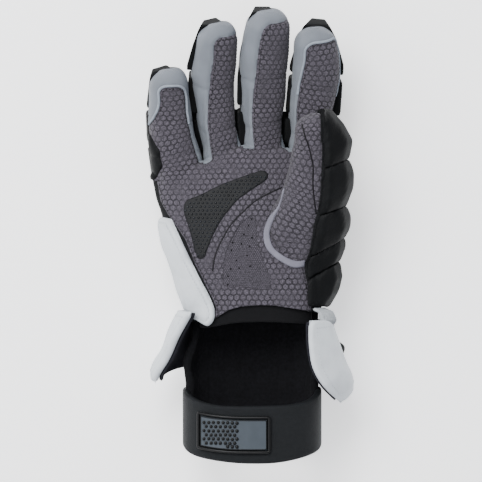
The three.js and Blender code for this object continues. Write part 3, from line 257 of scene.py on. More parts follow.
STUD_MARGIN = (5.5, 5.0)  # from the ends and the edges of the patch
STUD_START = 1.9  # from the top of the studs' field to their first row
STUD_REACH = 0.8  # how near the field a stud's place has to lie
PLATE_INSET, RIM_INSET, BEAD_INSET = 2.6, 1.1, 3.1  # from the patch's outline
RIM_RADIUS, RIM_HEIGHT, BEAD_RADIUS = 1.15, 1.5, 0.35
ROW_STEP = 0.87  # pitch of two rows whose places alternate, as a share of the pitch in a row
COLLAR_REACH = 62  # half the arc of the collar, in degrees
GORE_FROM, GORE_TO = 52, 84  # arc of the gore, in degrees from the front
GORE_GATHER = 1.3
LACE_RADIUS = 1.3

# Forms that a later operator lays its stitches on, by name
MADE = {}


def in_pixels(points):
    """Places on the page, in millimetres, of points given in the photograph's pixels."""
    spots = np.array(points, float)
    return np.column_stack([(spots[:, 0] - PHOTO_X) * PIXEL, (PHOTO_Y - spots[:, 1]) * PIXEL])


def smooth_column(rows, column, places):
    """A column of a table at places along its first column, on a cubic through the rows."""
    table = np.array(rows, float)
    x, y = table[:, 0], table[:, column]
    slope = np.gradient(y, x)
    t = np.clip(places, x[0], x[-1])
    i = np.clip(np.searchsorted(x, t) - 1, 0, len(x) - 2)
    h = x[i + 1] - x[i]
    u = (t - x[i]) / h
    rise = y[i] * (1 + 2 * u) * (1 - u) ** 2 + y[i + 1] * u * u * (3 - 2 * u)
    return rise + h * u * (1 - u) * (slope[i] * (1 - u) - slope[i + 1] * u)


def eased(count):
    """Shares from 0 to 1 that lie closer together near both ends."""
    return 0.5 - 0.5 * np.cos(np.linspace(0, math.pi, count))


def step_between(value, low, high):
    """Smooth step from 0 below low to 1 above high."""
    t = np.clip((value - low) / (high - low), 0, 1)
    return t * t * (3 - 2 * t)


def unit(vectors):
    """Vectors of length 1."""
    return vectors / np.maximum(np.linalg.norm(vectors, axis=-1, keepdims=True), 1e-9)


def stacked(x, y, z):
    """Points of a grid from coordinates that may be single rows, columns or numbers."""
    return np.stack(np.broadcast_arrays(x, y, z), axis=-1)


def grid_normals(grid):
    """Unit normals at the points of a grid."""
    return unit(np.cross(np.gradient(grid, axis=1), np.gradient(grid, axis=0)))


def edges_of(faces):
    """The three edges of every triangle, in its own turning direction."""
    return np.vstack([faces[:, [0, 1]], faces[:, [1, 2]], faces[:, [2, 0]]])


def oval(half_width, half_depth, angle):
    """Offsets across and up on a rounded oval, with angle 0 at the top."""
    across, up = np.sin(angle), np.cos(angle)
    power = 2 / OVAL_POWER
    return (half_width * np.sign(across) * np.abs(across) ** power,
            half_depth * np.sign(up) * np.abs(up) ** power)


def loft(rings):
    """Closed triangle skin over rings of equal count, with a fan over each end."""
    rings = np.asarray(rings)
    rows, count = rings.shape[:2]
    i, j = np.meshgrid(np.arange(rows - 1), np.arange(count), indexing="ij")
    a, b = (i * count + j).ravel(), (i * count + (j + 1) % count).ravel()
    faces = [np.column_stack([a, b, b + count]), np.column_stack([a, b + count, a + count])]
    points = np.vstack([rings.reshape(-1, 3), rings[0].mean(0), rings[-1].mean(0)])
    ring, following = np.arange(count), (np.arange(count) + 1) % count
    last = (rows - 1) * count
    start, end = np.full(count, rows * count), np.full(count, rows * count + 1)
    faces.append(np.column_stack([following, ring, start]))
    faces.append(np.column_stack([ring + last, following + last, end]))
    return points, np.vstack(faces)


# The hand and its fingers as smooth forms


class Limb:
    """A rounded tube along a curve: a finger or the thumb."""

    def __init__(self, name, centre, half, roll, dome, lean):
        self.name = name
        self.lean = lean
        self.share = np.linspace(0, 1, 161)
        self.centre = centre(self.share)
        steps = np.linalg.norm(np.diff(self.centre, axis=0), axis=1)
        self.along = np.concatenate([[0], np.cumsum(steps)])
        self.length = self.along[-1]
        self.ahead = unit(np.gradient(self.centre, axis=0))
        up = np.array([0.0, 0.0, 1.0])
        self.front = unit(up - self.ahead * self.ahead[:, 2:])
        self.side = np.cross(self.ahead, self.front)
        self.half = np.column_stack(half(self.share))
        self.roll = math.radians(roll)
        self.dome = dome

    def at(self, share, *names):
        """Values of named columns at shares of the limb."""
        found = []
        for name in names:
            table = getattr(self, name)
            found.append(np.column_stack([np.interp(share, self.share, c) for c in table.T]))
        return found

    def ring(self, share, grow=0, scale=1.0, push=0.0, shift=0.0, count=56):
        """Ring of points round the limb."""
        columns = ("centre", "ahead", "front", "side", "half")
        centre, ahead, front, side, half = (v[0] for v in self.at([share], *columns))
        turn_cos, turn_sin = math.cos(self.roll), math.sin(self.roll)
        face = front * turn_cos + side * turn_sin
        flank = side * turn_cos - front * turn_sin
        angle = np.linspace(0, 2 * math.pi, count, endpoint=False)
        across, up = oval((half[0] + grow) * scale, (half[1] + grow) * scale, angle)
        middle = centre + ahead * push + side * shift
        return middle + across[:, None] * flank + up[:, None] * face

    def body(self, grow=0):
        """Closed skin of the limb with a round end."""
        start = 1 - self.dome / self.length
        rings = [self.ring(share, grow) for share in np.linspace(0, start, 40)]
        for angle in np.radians(np.linspace(0, 86, 12))[1:]:
            reach = (self.dome + grow) * math.sin(angle)
            scale = math.cos(angle)
            rings.append(self.ring(start, grow, scale, reach, self.lean * (1 - scale)))
        return loft(rings)

    def local(self, points):
        """Share along the limb and angle from straight in front, in degrees, of points."""
        share = np.interp(points[:, 1], self.centre[:, 1], self.share)
        for _ in range(3):
            centre, ahead = self.at(share, "centre", "ahead")
            share = share + ((points - centre) * ahead).sum(1) / self.length
        centre, front, side, half = self.at(share, "centre", "front", "side", "half")
        across = ((points - centre) * side).sum(1) / half[:, 0]
        forward = ((points - centre) * front).sum(1) / half[:, 1]
        return share, np.degrees(np.arctan2(across, forward))

    def edge(self, y, side):
        """X of the limb's left or right edge at heights on the page."""
        return np.interp(y, self.centre[:, 1], self.centre[:, 0] + side * self.half[:, 0])


def through_three(values, share):
    """Quadratic through a start, a middle and an end value."""
    start, middle, end = values
    rest = 1 - share
    return (start * rest * (1 - 2 * share) + 4 * middle * share * rest
            + end * share * (2 * share - 1))


def make_finger(name, root_y, reach, depths, roll, lean):
    """A finger between its edges in the photograph, curling up to its tip."""
    rows = np.array(FINGER_EDGES[name])
    left, right = in_pixels(rows[:, [1, 0]]), in_pixels(rows[:, [2, 0]])
    edges = np.column_stack([left[:, 1], left[:, 0], right[:, 0]])

    def edges_at(share):
        y = HAND_LENGTH * root_y + FINGER_REACH * reach * share
        return y, smooth_column(edges, 1, y), smooth_column(edges, 2, y)

    def centre(share):
        y, low, high = edges_at(share)
        z = FINGER_ROOT + FINGER_CURL * reach * share ** 2
        return np.column_stack([(low + high) / 2, y, z])

    def half(share):
        _, low, high = edges_at(share)
        return (high - low) / 2, FINGER_DEPTH / 2 * through_three(depths, share)

    return Limb(name, centre, half, roll, FINGER_DOME, lean)


def make_thumb():
    """The thumb through its stations, with a last one at the end of its dome."""
    stations = np.array(THUMB_STATIONS, float)
    scale = (HAND_WIDTH, HAND_LENGTH, HAND_DEPTH, THUMB_WIDTH / 2, THUMB_DEPTH / 2)
    stations = stations * scale + (0, 0, PAD_FOAM, 0, 0)
    last = stations[-1].copy()
    last[:3] += unit(stations[-1, :3] - stations[-2, :3]) * THUMB_DOME
    stations = np.vstack([stations, last])
    rows = np.column_stack([np.linspace(0, 1, len(stations)), stations])

    def centre(share):
        return np.column_stack([smooth_column(rows, c, share) for c in (1, 2, 3)])

    def half(share):
        return smooth_column(rows, 4, share), smooth_column(rows, 5, share)

    return Limb("thumb", centre, half, 0, THUMB_DOME, THUMB_LEAN)


LIMBS = [make_finger(*row) for row in FINGERS]
THUMB = make_thumb()


def hand_ring(along, grow=0, shift=0.0, flatten=1.0, count=96):
    """Ring of the hand at a share of its length."""
    centre, width, depth, bow = (smooth_column(HAND_SECTIONS, c, [along])[0] for c in (1, 2, 3, 4))
    half_depth = (HAND_DEPTH * depth / 2 + grow) * flatten
    angle = np.linspace(0, 2 * math.pi, count, endpoint=False)
    across, up = oval(HAND_WIDTH * width / 2 + grow, half_depth, angle)
    x = HAND_WIDTH * centre + across
    y = along * HAND_LENGTH + shift - bow * (HAND_LENGTH - crotch_at(x))
    return np.column_stack([x, y, PAD_FOAM + HAND_DEPTH * depth / 2 + up])


def crotch_at(x):
    """Height on the page of the line of the finger crotches."""
    line = np.array(CROTCH_LINE)
    return HAND_LENGTH * np.interp(x / HAND_WIDTH, line[:, 0], line[:, 1])


def hand_body(grow=0, hang=18.0):
    """Closed skin of the hand, hanging past its wrist edge."""
    rings = [hand_ring(0, grow, -hang), hand_ring(0, grow, -hang / 2)]
    rings += [hand_ring(along, grow) for along in np.linspace(0, HAND_SECTIONS[-1][0], 40)]
    for out, flatten in ((0.35, 0.95), (0.7, 0.82), (1, 0.55)):
        rings.append(hand_ring(HAND_SECTIONS[-1][0], grow, 5 * out, flatten))
    return loft(rings)


# Skins: triangles with named values at their points


def raw_object(name, points, faces, edges=()):
    """Plain object from points in its own units."""
    mesh = bpy.data.meshes.new(name)
    mesh.from_pydata(np.asarray(points).tolist(), list(edges), np.asarray(faces).tolist())
    thing = bpy.data.objects.new(name, mesh)
    bpy.context.scene.collection.objects.link(thing)
    return thing


def evaluated(thing):
    """Mesh of an object with its modifiers applied, after which the object is removed."""
    bpy.context.view_layer.update()
    graph = bpy.context.evaluated_depsgraph_get()
    mesh = bpy.data.meshes.new_from_object(thing.evaluated_get(graph))
    old = thing.data
    bpy.data.objects.remove(thing)
    if old.users == 0:
        bpy.data.meshes.remove(old)
    return mesh


def arrays(mesh):
    """Points and triangles of a scratch mesh, which is removed."""
    points = np.empty(3 * len(mesh.vertices), np.float32)
    mesh.vertices.foreach_get("co", points)
    mesh.calc_loop_triangles()
    faces = np.empty(3 * len(mesh.loop_triangles), np.int32)
    mesh.loop_triangles.foreach_get("vertices", faces)
    bpy.data.meshes.remove(mesh)
    return points.reshape(-1, 3).astype(float), faces.reshape(-1, 3)


def remeshed(parts, kind):
    """One even skin round closed parts that may overlap, with the voxel of their kind."""
    points, faces, count = [], [], 0
    for part_points, part_faces in parts:
        points.append(part_points)
        faces.append(part_faces + count)
        count += len(part_points)
    thing = raw_object("remesh", np.vstack(points), np.vstack(faces))
    modifier = thing.modifiers.new("voxels", "REMESH")
    modifier.mode = "VOXEL"
    modifier.voxel_size = VOXELS[kind][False]
    return arrays(evaluated(thing))


def relaxed(points, faces, times, pull=0.5, push=-0.52):
    """Points smoothed without shrinking."""
    edges = np.sort(edges_of(faces), axis=1)
    a, b = np.unique(edges, axis=0).T
    size = len(points)
    count = np.maximum(np.bincount(a, minlength=size) + np.bincount(b, minlength=size), 1)
    for i in range(times):
        total = np.column_stack([
            np.bincount(a, points[b, k], size) + np.bincount(b, points[a, k], size)
            for k in range(3)
        ])
        step = total / count[:, None] - points
        points = points + (push if i % 2 else pull) * step
    return points


def normals_of(points, faces):
    """Unit normals at the points of a triangle skin."""
    a, b, c = (points[faces[:, i]] for i in range(3))
    face = np.cross(b - a, c - a)
    size = len(points)
    total = np.zeros((size, 3))
    for i in range(3):
        for k in range(3):
            total[:, k] += np.bincount(faces[:, i], face[:, k], size)
    return unit(total)


class Skin:
    """Triangles in glove millimetres with named values at their points."""

    def __init__(self, points, faces, values):
        self.points = points
        self.faces = faces
        self.values = values

    def __getitem__(self, name):
        return self.values[name]

    def clip(self, field, sign=1):
        """The part where a field times sign is positive, cut exactly along its zero line."""
        value = sign * (self.values[field] if isinstance(field, str) else field)
        value = np.where(np.abs(value) < 0.03, 0.03, value)
        inside = value > 0
        count = inside[self.faces].sum(1)

        def turned(mask, odd):
            found = self.faces[mask]
            first = np.argmax(inside[found] == odd, axis=1)
            return np.take_along_axis(found, (first[:, None] + np.arange(3)) % 3, axis=1)

        one, two = turned(count == 1, True), turned(count == 2, False)
        crossed = np.vstack([one[:, [0, 1]], one[:, [0, 2]], two[:, [0, 1]], two[:, [0, 2]]])
        pairs, where = np.unique(np.sort(crossed, axis=1), axis=0, return_inverse=True)
        low, high = value[pairs[:, 0]], value[pairs[:, 1]]
        share = low / (low - high)

        def mixed(column):
            part = share if column.ndim == 1 else share[:, None]
            cut = column[pairs[:, 0]] * (1 - part) + column[pairs[:, 1]] * part
            return np.concatenate([column, cut])

        where = where.ravel() + len(self.points)
        n, m = len(one), len(two)
        ab, ac, de, df = np.split(where, [n, 2 * n, 2 * n + m])
        faces = np.vstack([
            self.faces[count == 3],
            np.column_stack([one[:, 0], ab, ac]),
            np.column_stack([de, two[:, 1], two[:, 2]]),
            np.column_stack([de, two[:, 2], df]),
        ])
        used, faces = np.unique(faces, return_inverse=True)
        values = {name: mixed(column)[used] for name, column in self.values.items()}
        return Skin(mixed(self.points)[used], faces.reshape(-1, 3), values)

    def moved(self, distance):
        """The skin moved along its normals."""
        points = self.points + self.values["normal"] * np.asarray(distance)[..., None]
        return Skin(points, self.faces, self.values)

    def largest(self):
        """The largest connected part of the skin."""
        label = np.arange(len(self.points))
        while True:
            low = label[self.faces].min(1)
            fresh = label.copy()
            for i in range(3):
                np.minimum.at(fresh, self.faces[:, i], low)
            fresh = fresh[fresh]
            if (fresh == label).all():
                break
            label = fresh
        keep = label[self.faces[:, 0]] == np.bincount(label[self.faces[:, 0]]).argmax()
        used, faces = np.unique(self.faces[keep], return_inverse=True)
        values = {name: column[used] for name, column in self.values.items()}
        return Skin(self.points[used], faces.reshape(-1, 3), values)

    def contours(self, field, level=0.0, least=6):
        """Chains of points and normals along which a field crosses a level."""
        value = (self.values[field] if isinstance(field, str) else field) - level
        value = np.where(np.abs(value) < 1e-4, 1e-4, value)
        over = value > 0
        count = over[self.faces].sum(1)
        faces = self.faces[(count == 1) | (count == 2)]
        odd = over[faces] == (over[faces].sum(1) == 1)[:, None]
        first = np.argmax(odd, axis=1)
        faces = np.take_along_axis(faces, (first[:, None] + np.arange(3)) % 3, axis=1)
        ends = np.sort(np.stack([faces[:, [0, 1]], faces[:, [0, 2]]], axis=1), axis=2)
        pairs, where = np.unique(ends.reshape(-1, 2), axis=0, return_inverse=True)
        low, high = value[pairs[:, 0]], value[pairs[:, 1]]
        share = (low / (low - high))[:, None]
        points = self.points[pairs[:, 0]] * (1 - share) + self.points[pairs[:, 1]] * share
        normal = self.values["normal"]
        ups = unit(normal[pairs[:, 0]] * (1 - share) + normal[pairs[:, 1]] * share)
        chains = [c for c in chained(where.reshape(-1, 2).tolist()) if len(c) >= least]
        return [(points[chain], ups[chain]) for chain in chains]


def chained(links):
    """Chains of numbers that are linked in pairs. A closed one ends on its first number."""
    near = {}
    for a, b in links:
        near.setdefault(a, []).append(b)
        near.setdefault(b, []).append(a)
    free = set(near)
    chains = []
    for start in sorted(near, key=lambda n: (len(near[n]) != 1, n)):
        if start not in free:
            continue
        chain = [start]
        free.discard(start)
        while True:
            following = [n for n in near[chain[-1]] if n in free]
            if not following:
                break
            chain.append(following[0])
            free.discard(following[0])
        if len(chain) > 2 and start in near[chain[-1]] and len(near[start]) == 2:
            chain.append(start)
        chains.append(chain)
    return chains


def evened(line, times=3):
    """A chain with its small zigzags smoothed out."""
    points, ups = line
    closed = np.allclose(points[0], points[-1])
    for _ in range(times):
        inner = (points[:-2] + 2 * points[1:-1] + points[2:]) / 4
        ends = (points[-2] + 2 * points[0] + points[1]) / 4 if closed else None
        points = np.vstack([points[:1], inner, points[-1:]])
        if closed:
            points[0] = points[-1] = ends
    return points, ups


def depth_inside(points, outline):
    """Distance of places on the page from an outline, positive inside it."""
    spots = points[:, :2]
    starts = np.asarray(outline)
    if np.allclose(starts[0], starts[-1]):
        starts = starts[1:]
    ends = np.roll(starts, -1, axis=0)
    nearest = np.full(len(spots), 1e9)
    inside = np.zeros(len(spots), bool)
    for start, end in zip(starts, ends):
        along = end - start
        share = np.clip(((spots - start) @ along) / (along @ along), 0, 1)
        gap = np.linalg.norm(spots - start - share[:, None] * along, axis=1)
        nearest = np.minimum(nearest, gap)
        crosses = (start[1] > spots[:, 1]) != (end[1] > spots[:, 1])
        rise = np.where(crosses, (spots[:, 1] - start[1]) / (along[1] or 1), 0)
        inside ^= crosses & (spots[:, 0] < start[0] + rise * along[0])
    return np.where(inside, nearest, -nearest)


def rounded_curve(points, spacing=1.5):
    """Evenly spaced points on a smooth curve through a few points on the page."""
    spots = np.asarray(points, float)
    reach = np.concatenate([[0], np.cumsum(np.linalg.norm(np.diff(spots, axis=0), axis=1))])
    rows = np.column_stack([reach, spots])
    places = np.linspace(0, reach[-1], max(int(reach[-1] / spacing), 4))
    return np.column_stack([smooth_column(rows, c, places) for c in range(1, rows.shape[1])])


def closed_outline(outline, spacing=1.5):
    """Smooth closed curve on the page through an outline in the photograph's pixels."""
    return rounded_curve(in_pixels(outline + outline[:1]), spacing)


def rounded_corner(a, b, radius):
    """Distance inside two edges that meet in a rounded corner."""
    corner = np.hypot(np.maximum(radius - a, 0), np.maximum(radius - b, 0))
    return np.where((a < radius) & (b < radius), radius - corner, np.minimum(a, b))


def folds(points, size, height, seed):
    """Soft waves over a surface, as of cloth that doesn't lie quite flat."""
    draw = np.random.default_rng(seed)
    total = np.zeros(len(points))
    for _ in range(7):
        direction = unit(draw.normal(size=3))
        pace = 2 * math.pi / (size * draw.uniform(0.7, 1.5))
        total += np.sin(points @ direction * pace + draw.uniform(0, 6.28))
    return total * height / 4


@cache
def glove_skin():
    """The cloth surface of the hand and fingers, with the fields that its seams follow."""
    parts = [hand_body(-SLIM)] + [limb.body(-SLIM) for limb in LIMBS]
    points, faces = remeshed(parts, "hand")
    points = relaxed(points, faces, 12)
    points = relaxed(points + normals_of(points, faces) * SLIM, faces, 8)
    x, y, z = points.T
    mids = [(a.edge(y, 1) + b.edge(y, -1)) / 2 for a, b in zip(LIMBS, LIMBS[1:])]
    owner = sum((x > mid).astype(int) for mid in mids)
    crotch = crotch_at(x)
    size = len(points)
    front, back, crease = np.full(size, -9.0), np.full(size, -9.0), np.zeros(size)
    share, angle = np.zeros(size), np.zeros(size)
    cloth = points[:, :2].copy()
    past = step_between(y, crotch - 16, crotch + 12)
    for number, limb in enumerate(LIMBS):
        mine = owner == number
        s, turn = limb.local(points[mine])
        rows, end = FINGER_SEAMS[limb.name]
        radius = limb.at(s, "half")[0].mean(1)
        left = np.radians(turn - smooth_column(rows, 1, s)) * radius
        right = np.radians(smooth_column(rows, 2, s) - turn) * radius
        top = (end - s) * limb.length
        front[mine] = rounded_corner(np.minimum(left, right), top, 6)
        behind = (turn - math.degrees(limb.roll) + 360) % 360 - 180
        back[mine] = np.radians(BACK_ANGLE - np.abs(behind)) * radius
        share[mine], angle[mine] = s, turn
        centre = limb.at(s, "centre")[0]
        flat = np.column_stack([centre[:, 0] + np.radians(turn) * radius,
                                limb.centre[0, 1] + s * limb.length])
        cloth[mine] += (flat - cloth[mine]) * past[mine, None]
        for joint in FINGER_JOINTS:
            lean = 3 * np.sin(np.radians(turn) + number)
            near = np.exp(-(((s - joint) * limb.length + lean) / 1.8) ** 2)
            crease[mine] += near * (np.abs(turn) < 90)
    hand = np.minimum(x - line_x(PALM_LEFT, y), line_x(PALM_RIGHT, y) - x)
    hand = np.minimum(hand, z - SPLIT_HEIGHT)
    palm = np.maximum(np.minimum(hand, 4 * (crotch - CROTCH_SEAM - y)),
                      np.minimum(front, 4 * (y - crotch + CROTCH_LAP)))
    backing = np.maximum(crotch - CROTCH_SEAM - y, back)
    normal = normals_of(points, faces)
    wave = folds(points, 34, 0.45, 5) + folds(points, 13, 0.14, 8)
    seam = -0.75 * np.exp(-(palm / 1.3) ** 2) * (z > PAD_FOAM)
    arc = np.abs(gap_to_line(points, rounded_curve(in_pixels(ARC_SEAM)))) + 50 * (normal[:, 2] < 0)
    seam = seam - 0.8 * np.exp(-(arc / 1.2) ** 2)
    sink = 3.2 * step_between(-palm, 0.3, 6) * (1 - step_between(share, 0.4, 0.75))
    sink = sink * step_between(y - crotch, 0, 12) * (1 - step_between(np.abs(angle), 80, 125))
    sink = sink * (owner > 0)
    points = points + normal * (wave + seam - 0.55 * crease - sink)[:, None]
    values = {
        "palm": palm, "backing": backing, "normal": normals_of(points, faces),
        "share": share, "cloth": cloth, "wrist": y - line_y(WRIST_EDGE, x),
    }
    for number, mid in enumerate(mids):
        values[f"line_{number}"] = x - mid
    return Skin(points, faces, values)


def line_x(line, y):
    """X of a line drawn down the photograph at heights on the page."""
    spots = in_pixels(line)[::-1]
    return np.interp(y, spots[:, 1], spots[:, 0])


def line_y(line, x):
    """Y of a line drawn across the photograph."""
    spots = in_pixels(line)
    return np.interp(x, spots[:, 0], spots[:, 1])


def gap_to_line(points, line):
    """Distance on the page from an open line."""
    nearest = np.full(len(points), 1e9)
    for start, end in zip(line, line[1:]):
        along = end - start
        share = np.clip(((points[:, :2] - start) @ along) / (along @ along), 0, 1)
        gap = np.linalg.norm(points[:, :2] - start - share[:, None] * along, axis=1)
        nearest = np.minimum(nearest, gap)
    return nearest


def tree_of(skin):
    """Search tree over a skin, for projecting onto it."""
    return BVHTree.FromPolygons(skin.points.tolist(), skin.faces.tolist())


def upward(count):
    """Normals that point straight up."""
    return np.tile((0.0, 0.0, 1.0), (count, 1))


def below(tree, x, y):
    """Point and normal of the surface under a place on the page, or None for both."""
    return tree.ray_cast(Vector((x, y, ABOVE_ALL)), Vector((0, 0, -1)))[:2]


def signed_gap(points, tree):
    """Distance from a closed skin, positive outside it."""
    gaps = np.empty(len(points))
    for i, point in enumerate(points):
        spot, normal, _, distance = tree.find_nearest(Vector(point))
        outside = (Vector(point) - spot).dot(normal) >= 0
        gaps[i] = distance if outside else -distance
    return gaps


@cache
def thumb_skin():
    """The cloth surface of the thumb where it stands clear of the hand."""
    points, faces = remeshed([THUMB.body()], "thumb")
    points = relaxed(points, faces, 12)
    share, angle = THUMB.local(points)
    centre, side, front, half = THUMB.at(share, "centre", "side", "front", "half")
    across = ((points - centre) * side).sum(1)
    outer = across - THUMB_SEAM * half[:, 0]
    normal = normals_of(points, faces)
    crease = gap_to_line(points, rounded_curve(in_pixels(THUMB_CREASE))) + 50 * (normal[:, 2] < 0)
    wave = folds(points, 26, 0.35, 3) - 0.7 * np.exp(-(crease / 1.1) ** 2)
    wave = wave - 0.6 * np.exp(-(outer / 1.4) ** 2)
    points = points + normal * wave[:, None]
    along = THUMB.centre[0, 1] + np.interp(share, THUMB.share, THUMB.along)
    flat = np.column_stack([centre[:, 0] + np.radians(angle) * half.mean(1), along])
    down = half[:, 1] - ((points - centre) * front).sum(1)
    end = np.column_stack([centre[:, 0] + across, along + down])
    start = 1 - THUMB_DOME / THUMB.length
    flat += (end - flat) * step_between(share, start - 0.05, start + 0.05)[:, None]
    values = {"normal": normals_of(points, faces), "outer": outer, "cloth": flat,
              "free": signed_gap(points, tree_of(glove_skin()))}
    return Skin(points, faces, values)


# Finished pieces


def placed(points):
    """Glove millimetres as metres in the frame."""
    return (np.asarray(points) + ORIGIN) * MM


def finished(name, points, faces, material, node=None, cloth=None):
    """A piece in the frame, riding on the glove's one body."""
    mesh = bpy.data.meshes.new(name)
    mesh.from_pydata(placed(points).tolist(), [], np.asarray(faces).tolist())
    if cloth is not None:
        corners = np.empty(len(mesh.loops), np.int32)
        mesh.loops.foreach_get("vertex_index", corners)
        layer = mesh.uv_layers.new(name="cloth")
        layer.data.foreach_set("uv", cloth[corners].astype(np.float32).ravel())
    return adopt(name, mesh, material, node)


def adopt(name, mesh, material, node=None):
    """Makes a mesh in the frame a piece of the glove."""
    thing = bpy.data.objects.new(name, mesh)
    bpy.context.scene.collection.objects.link(thing)
    mesh.materials.clear()
    mesh.materials.append(material)
    mesh.shade_smooth()
    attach(thing, "root")
    if node:
        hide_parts(*([node] if isinstance(node, str) else node))
    return thing


def cushion(name, points, faces, material, slot, node, fill, cloth=None):
    """A finished piece."""
    finished(name, points, faces, material, node, cloth)


def walled(name, skin, thickness, material, node=None):
    """A sheet of cloth of a thickness under a skin."""
    piece = finished(name, skin.points, skin.faces, material, node, skin["cloth"])
    modifier = piece.modifiers.new("thickness", "SOLIDIFY")
    modifier.thickness = thickness * MM
    modifier.offset = -1
    reach = np.ptp(skin["cloth"], axis=0)
    return piece


def puffed(skin, field, height, edge, lift=0.15, power=2.0):
    """A closed patch over a skin, full inside and rounded down to its outline."""
    depth = np.clip(skin[field] / edge, 0, 1)
    rise = height * (1 - (1 - depth) ** power) ** (1 / power)
    top = skin.points + skin["normal"] * (lift + rise)[:, None]
    bottom = skin.points + skin["normal"] * lift
    return closed_over(top, bottom, skin.faces), np.vstack([skin["cloth"], skin["cloth"]])


def sheet_skin(grid):
    """An open skin over a grid of points, laid flat by its own lengths."""
    rows, columns = grid.shape[:2]
    i, j = (part.ravel() for part in np.meshgrid(np.arange(rows - 1), np.arange(columns - 1),
                                                 indexing="ij"))
    a = i * columns + j
    faces = np.vstack([np.column_stack([a, a + 1, a + columns + 1]),
                       np.column_stack([a, a + columns + 1, a + columns])])
    cloth = grid[..., :2].reshape(-1, 2)
    points = grid.reshape(-1, 3)
    return Skin(points, faces, {"normal": normals_of(points, faces), "cloth": cloth})


def closed_over(top, bottom, faces):
    """Closed skin between a top and a bottom over the same faces, with a rim at the border."""
    size = len(top)
    edges = edges_of(faces)
    pairs, first, uses = np.unique(np.sort(edges, axis=1), axis=0, return_index=True,
                                   return_counts=True)
    border = edges[first[uses == 1]]
    a, b = border.T
    rim = np.vstack([np.column_stack([b, a, a + size]), np.column_stack([b, a + size, b + size])])
    return np.vstack([top, bottom]), np.vstack([faces, faces[:, ::-1] + size, rim])


def leaf(grid, thickness, edge):
    """A padded leaf with rounded edges over a grid of points on its middle surface."""
    grid = np.asarray(grid)
    reaches = []
    for axis in (0, 1):
        step = np.linalg.norm(np.diff(grid, axis=axis), axis=2)
        zero = np.zeros_like(np.take(step, [0], axis=axis))
        reach = np.concatenate([zero, np.cumsum(step, axis=axis)], axis=axis)
        whole = np.take(reach, [-1], axis=axis)
        reaches.append(np.minimum(reach, whole - reach))
    depth = rounded_corner(reaches[0], reaches[1], 2 * edge)
    depth[[0, -1], :] = 0
    depth[:, [0, -1]] = 0
    share = np.clip(np.maximum(depth, 0) / edge, 0, 1)
    profile = np.sqrt(1 - (1 - share) ** 2)
    offset = grid_normals(grid) * (np.asarray(thickness) / 2 * profile)[..., None]
    rows, columns = grid.shape[:2]
    index = np.arange(rows * columns).reshape(rows, columns)
    under = index + rows * columns
    for part in ((0, slice(None)), (-1, slice(None)), (slice(None), 0), (slice(None), -1)):
        under[part] = index[part]
    faces = []
    for at, order in ((index, (0, 1, 2, 3)), (under, (3, 2, 1, 0))):
        corners = (at[:-1, :-1], at[:-1, 1:], at[1:, 1:], at[1:, :-1])
        faces.append(np.column_stack([corners[i].ravel() for i in order]))
    points = np.vstack([(grid + offset).reshape(-1, 3), (grid - offset).reshape(-1, 3)])
    used, faces = np.unique(np.vstack(faces), return_inverse=True)
    return points[used], faces.reshape(-1, 4)


def padded_leaf(grid, thickness, edge, name, material, slot, node, fill):
    """A leaf over a grid of points, as a padded piece."""
    cushion(name, *leaf(grid, thickness, edge), material, slot, node, fill)


# Nodes


def add(tree, kind, inputs=None, **settings):
    """Adds a node with its settings. Its inputs are values or sockets, by name or number."""
    node = tree.nodes.new(kind)
    for name, value in settings.items():
        setattr(node, name, value)
    for key, value in (inputs or {}).items():
        if isinstance(value, bpy.types.NodeSocket):
            tree.links.new(value, node.inputs[key])
        else:
            node.inputs[key].default_value = value
    return node


def new_tree(name, inputs):
    """Geometry node tree with a geometry in and out and named inputs."""
    tree = bpy.data.node_groups.new(name, "GeometryNodeTree")
    tree.interface.new_socket("Geometry", in_out="INPUT", socket_type="NodeSocketGeometry")
    for label, kind, value in inputs:
        socket = tree.interface.new_socket(label, in_out="INPUT", socket_type=kind)
        if value is not None:
            socket.default_value = value
    tree.interface.new_socket("Geometry", in_out="OUTPUT", socket_type="NodeSocketGeometry")
    return tree, add(tree, "NodeGroupInput").outputs


def close_tree(tree, geometry, material):
    """Ends a tree in realized instances that have their material."""
    real = add(tree, "GeometryNodeRealizeInstances", {"Geometry": geometry}).outputs[0]
    painted = add(tree, "GeometryNodeSetMaterial", {"Geometry": real, "Material": material})
    add(tree, "NodeGroupOutput", {"Geometry": painted.outputs[0]})


def upright(tree, axis, pivot_axis=None, base=None):
    """Rotation that turns an instance's Z to the stored normal."""
    up = add(tree, "GeometryNodeInputNamedAttribute", {"Name": "up"}, data_type="FLOAT_VECTOR")
    inputs = {"Vector": up.outputs[0]}
    if base is not None:
        inputs["Rotation"] = base
    turn = add(tree, "FunctionNodeAlignRotationToVector", inputs, axis=axis)
    if pivot_axis:
        turn.pivot_axis = pivot_axis
    return turn.outputs[0]


def spaced_curve(tree, lines, step):
    """Points a step apart along lines."""
    curve = add(tree, "GeometryNodeMeshToCurve", {0: lines})
    spaced = add(tree, "GeometryNodeResampleCurve", {"Curve": curve.outputs[0]})
    if hasattr(spaced, "mode"):  # a property in some versions, and a menu input in others
        spaced.mode = "LENGTH"
    else:
        spaced.inputs["Mode"].default_value = "Length"
    tree.links.new(step, spaced.inputs["Length"])
    return spaced.outputs[0]


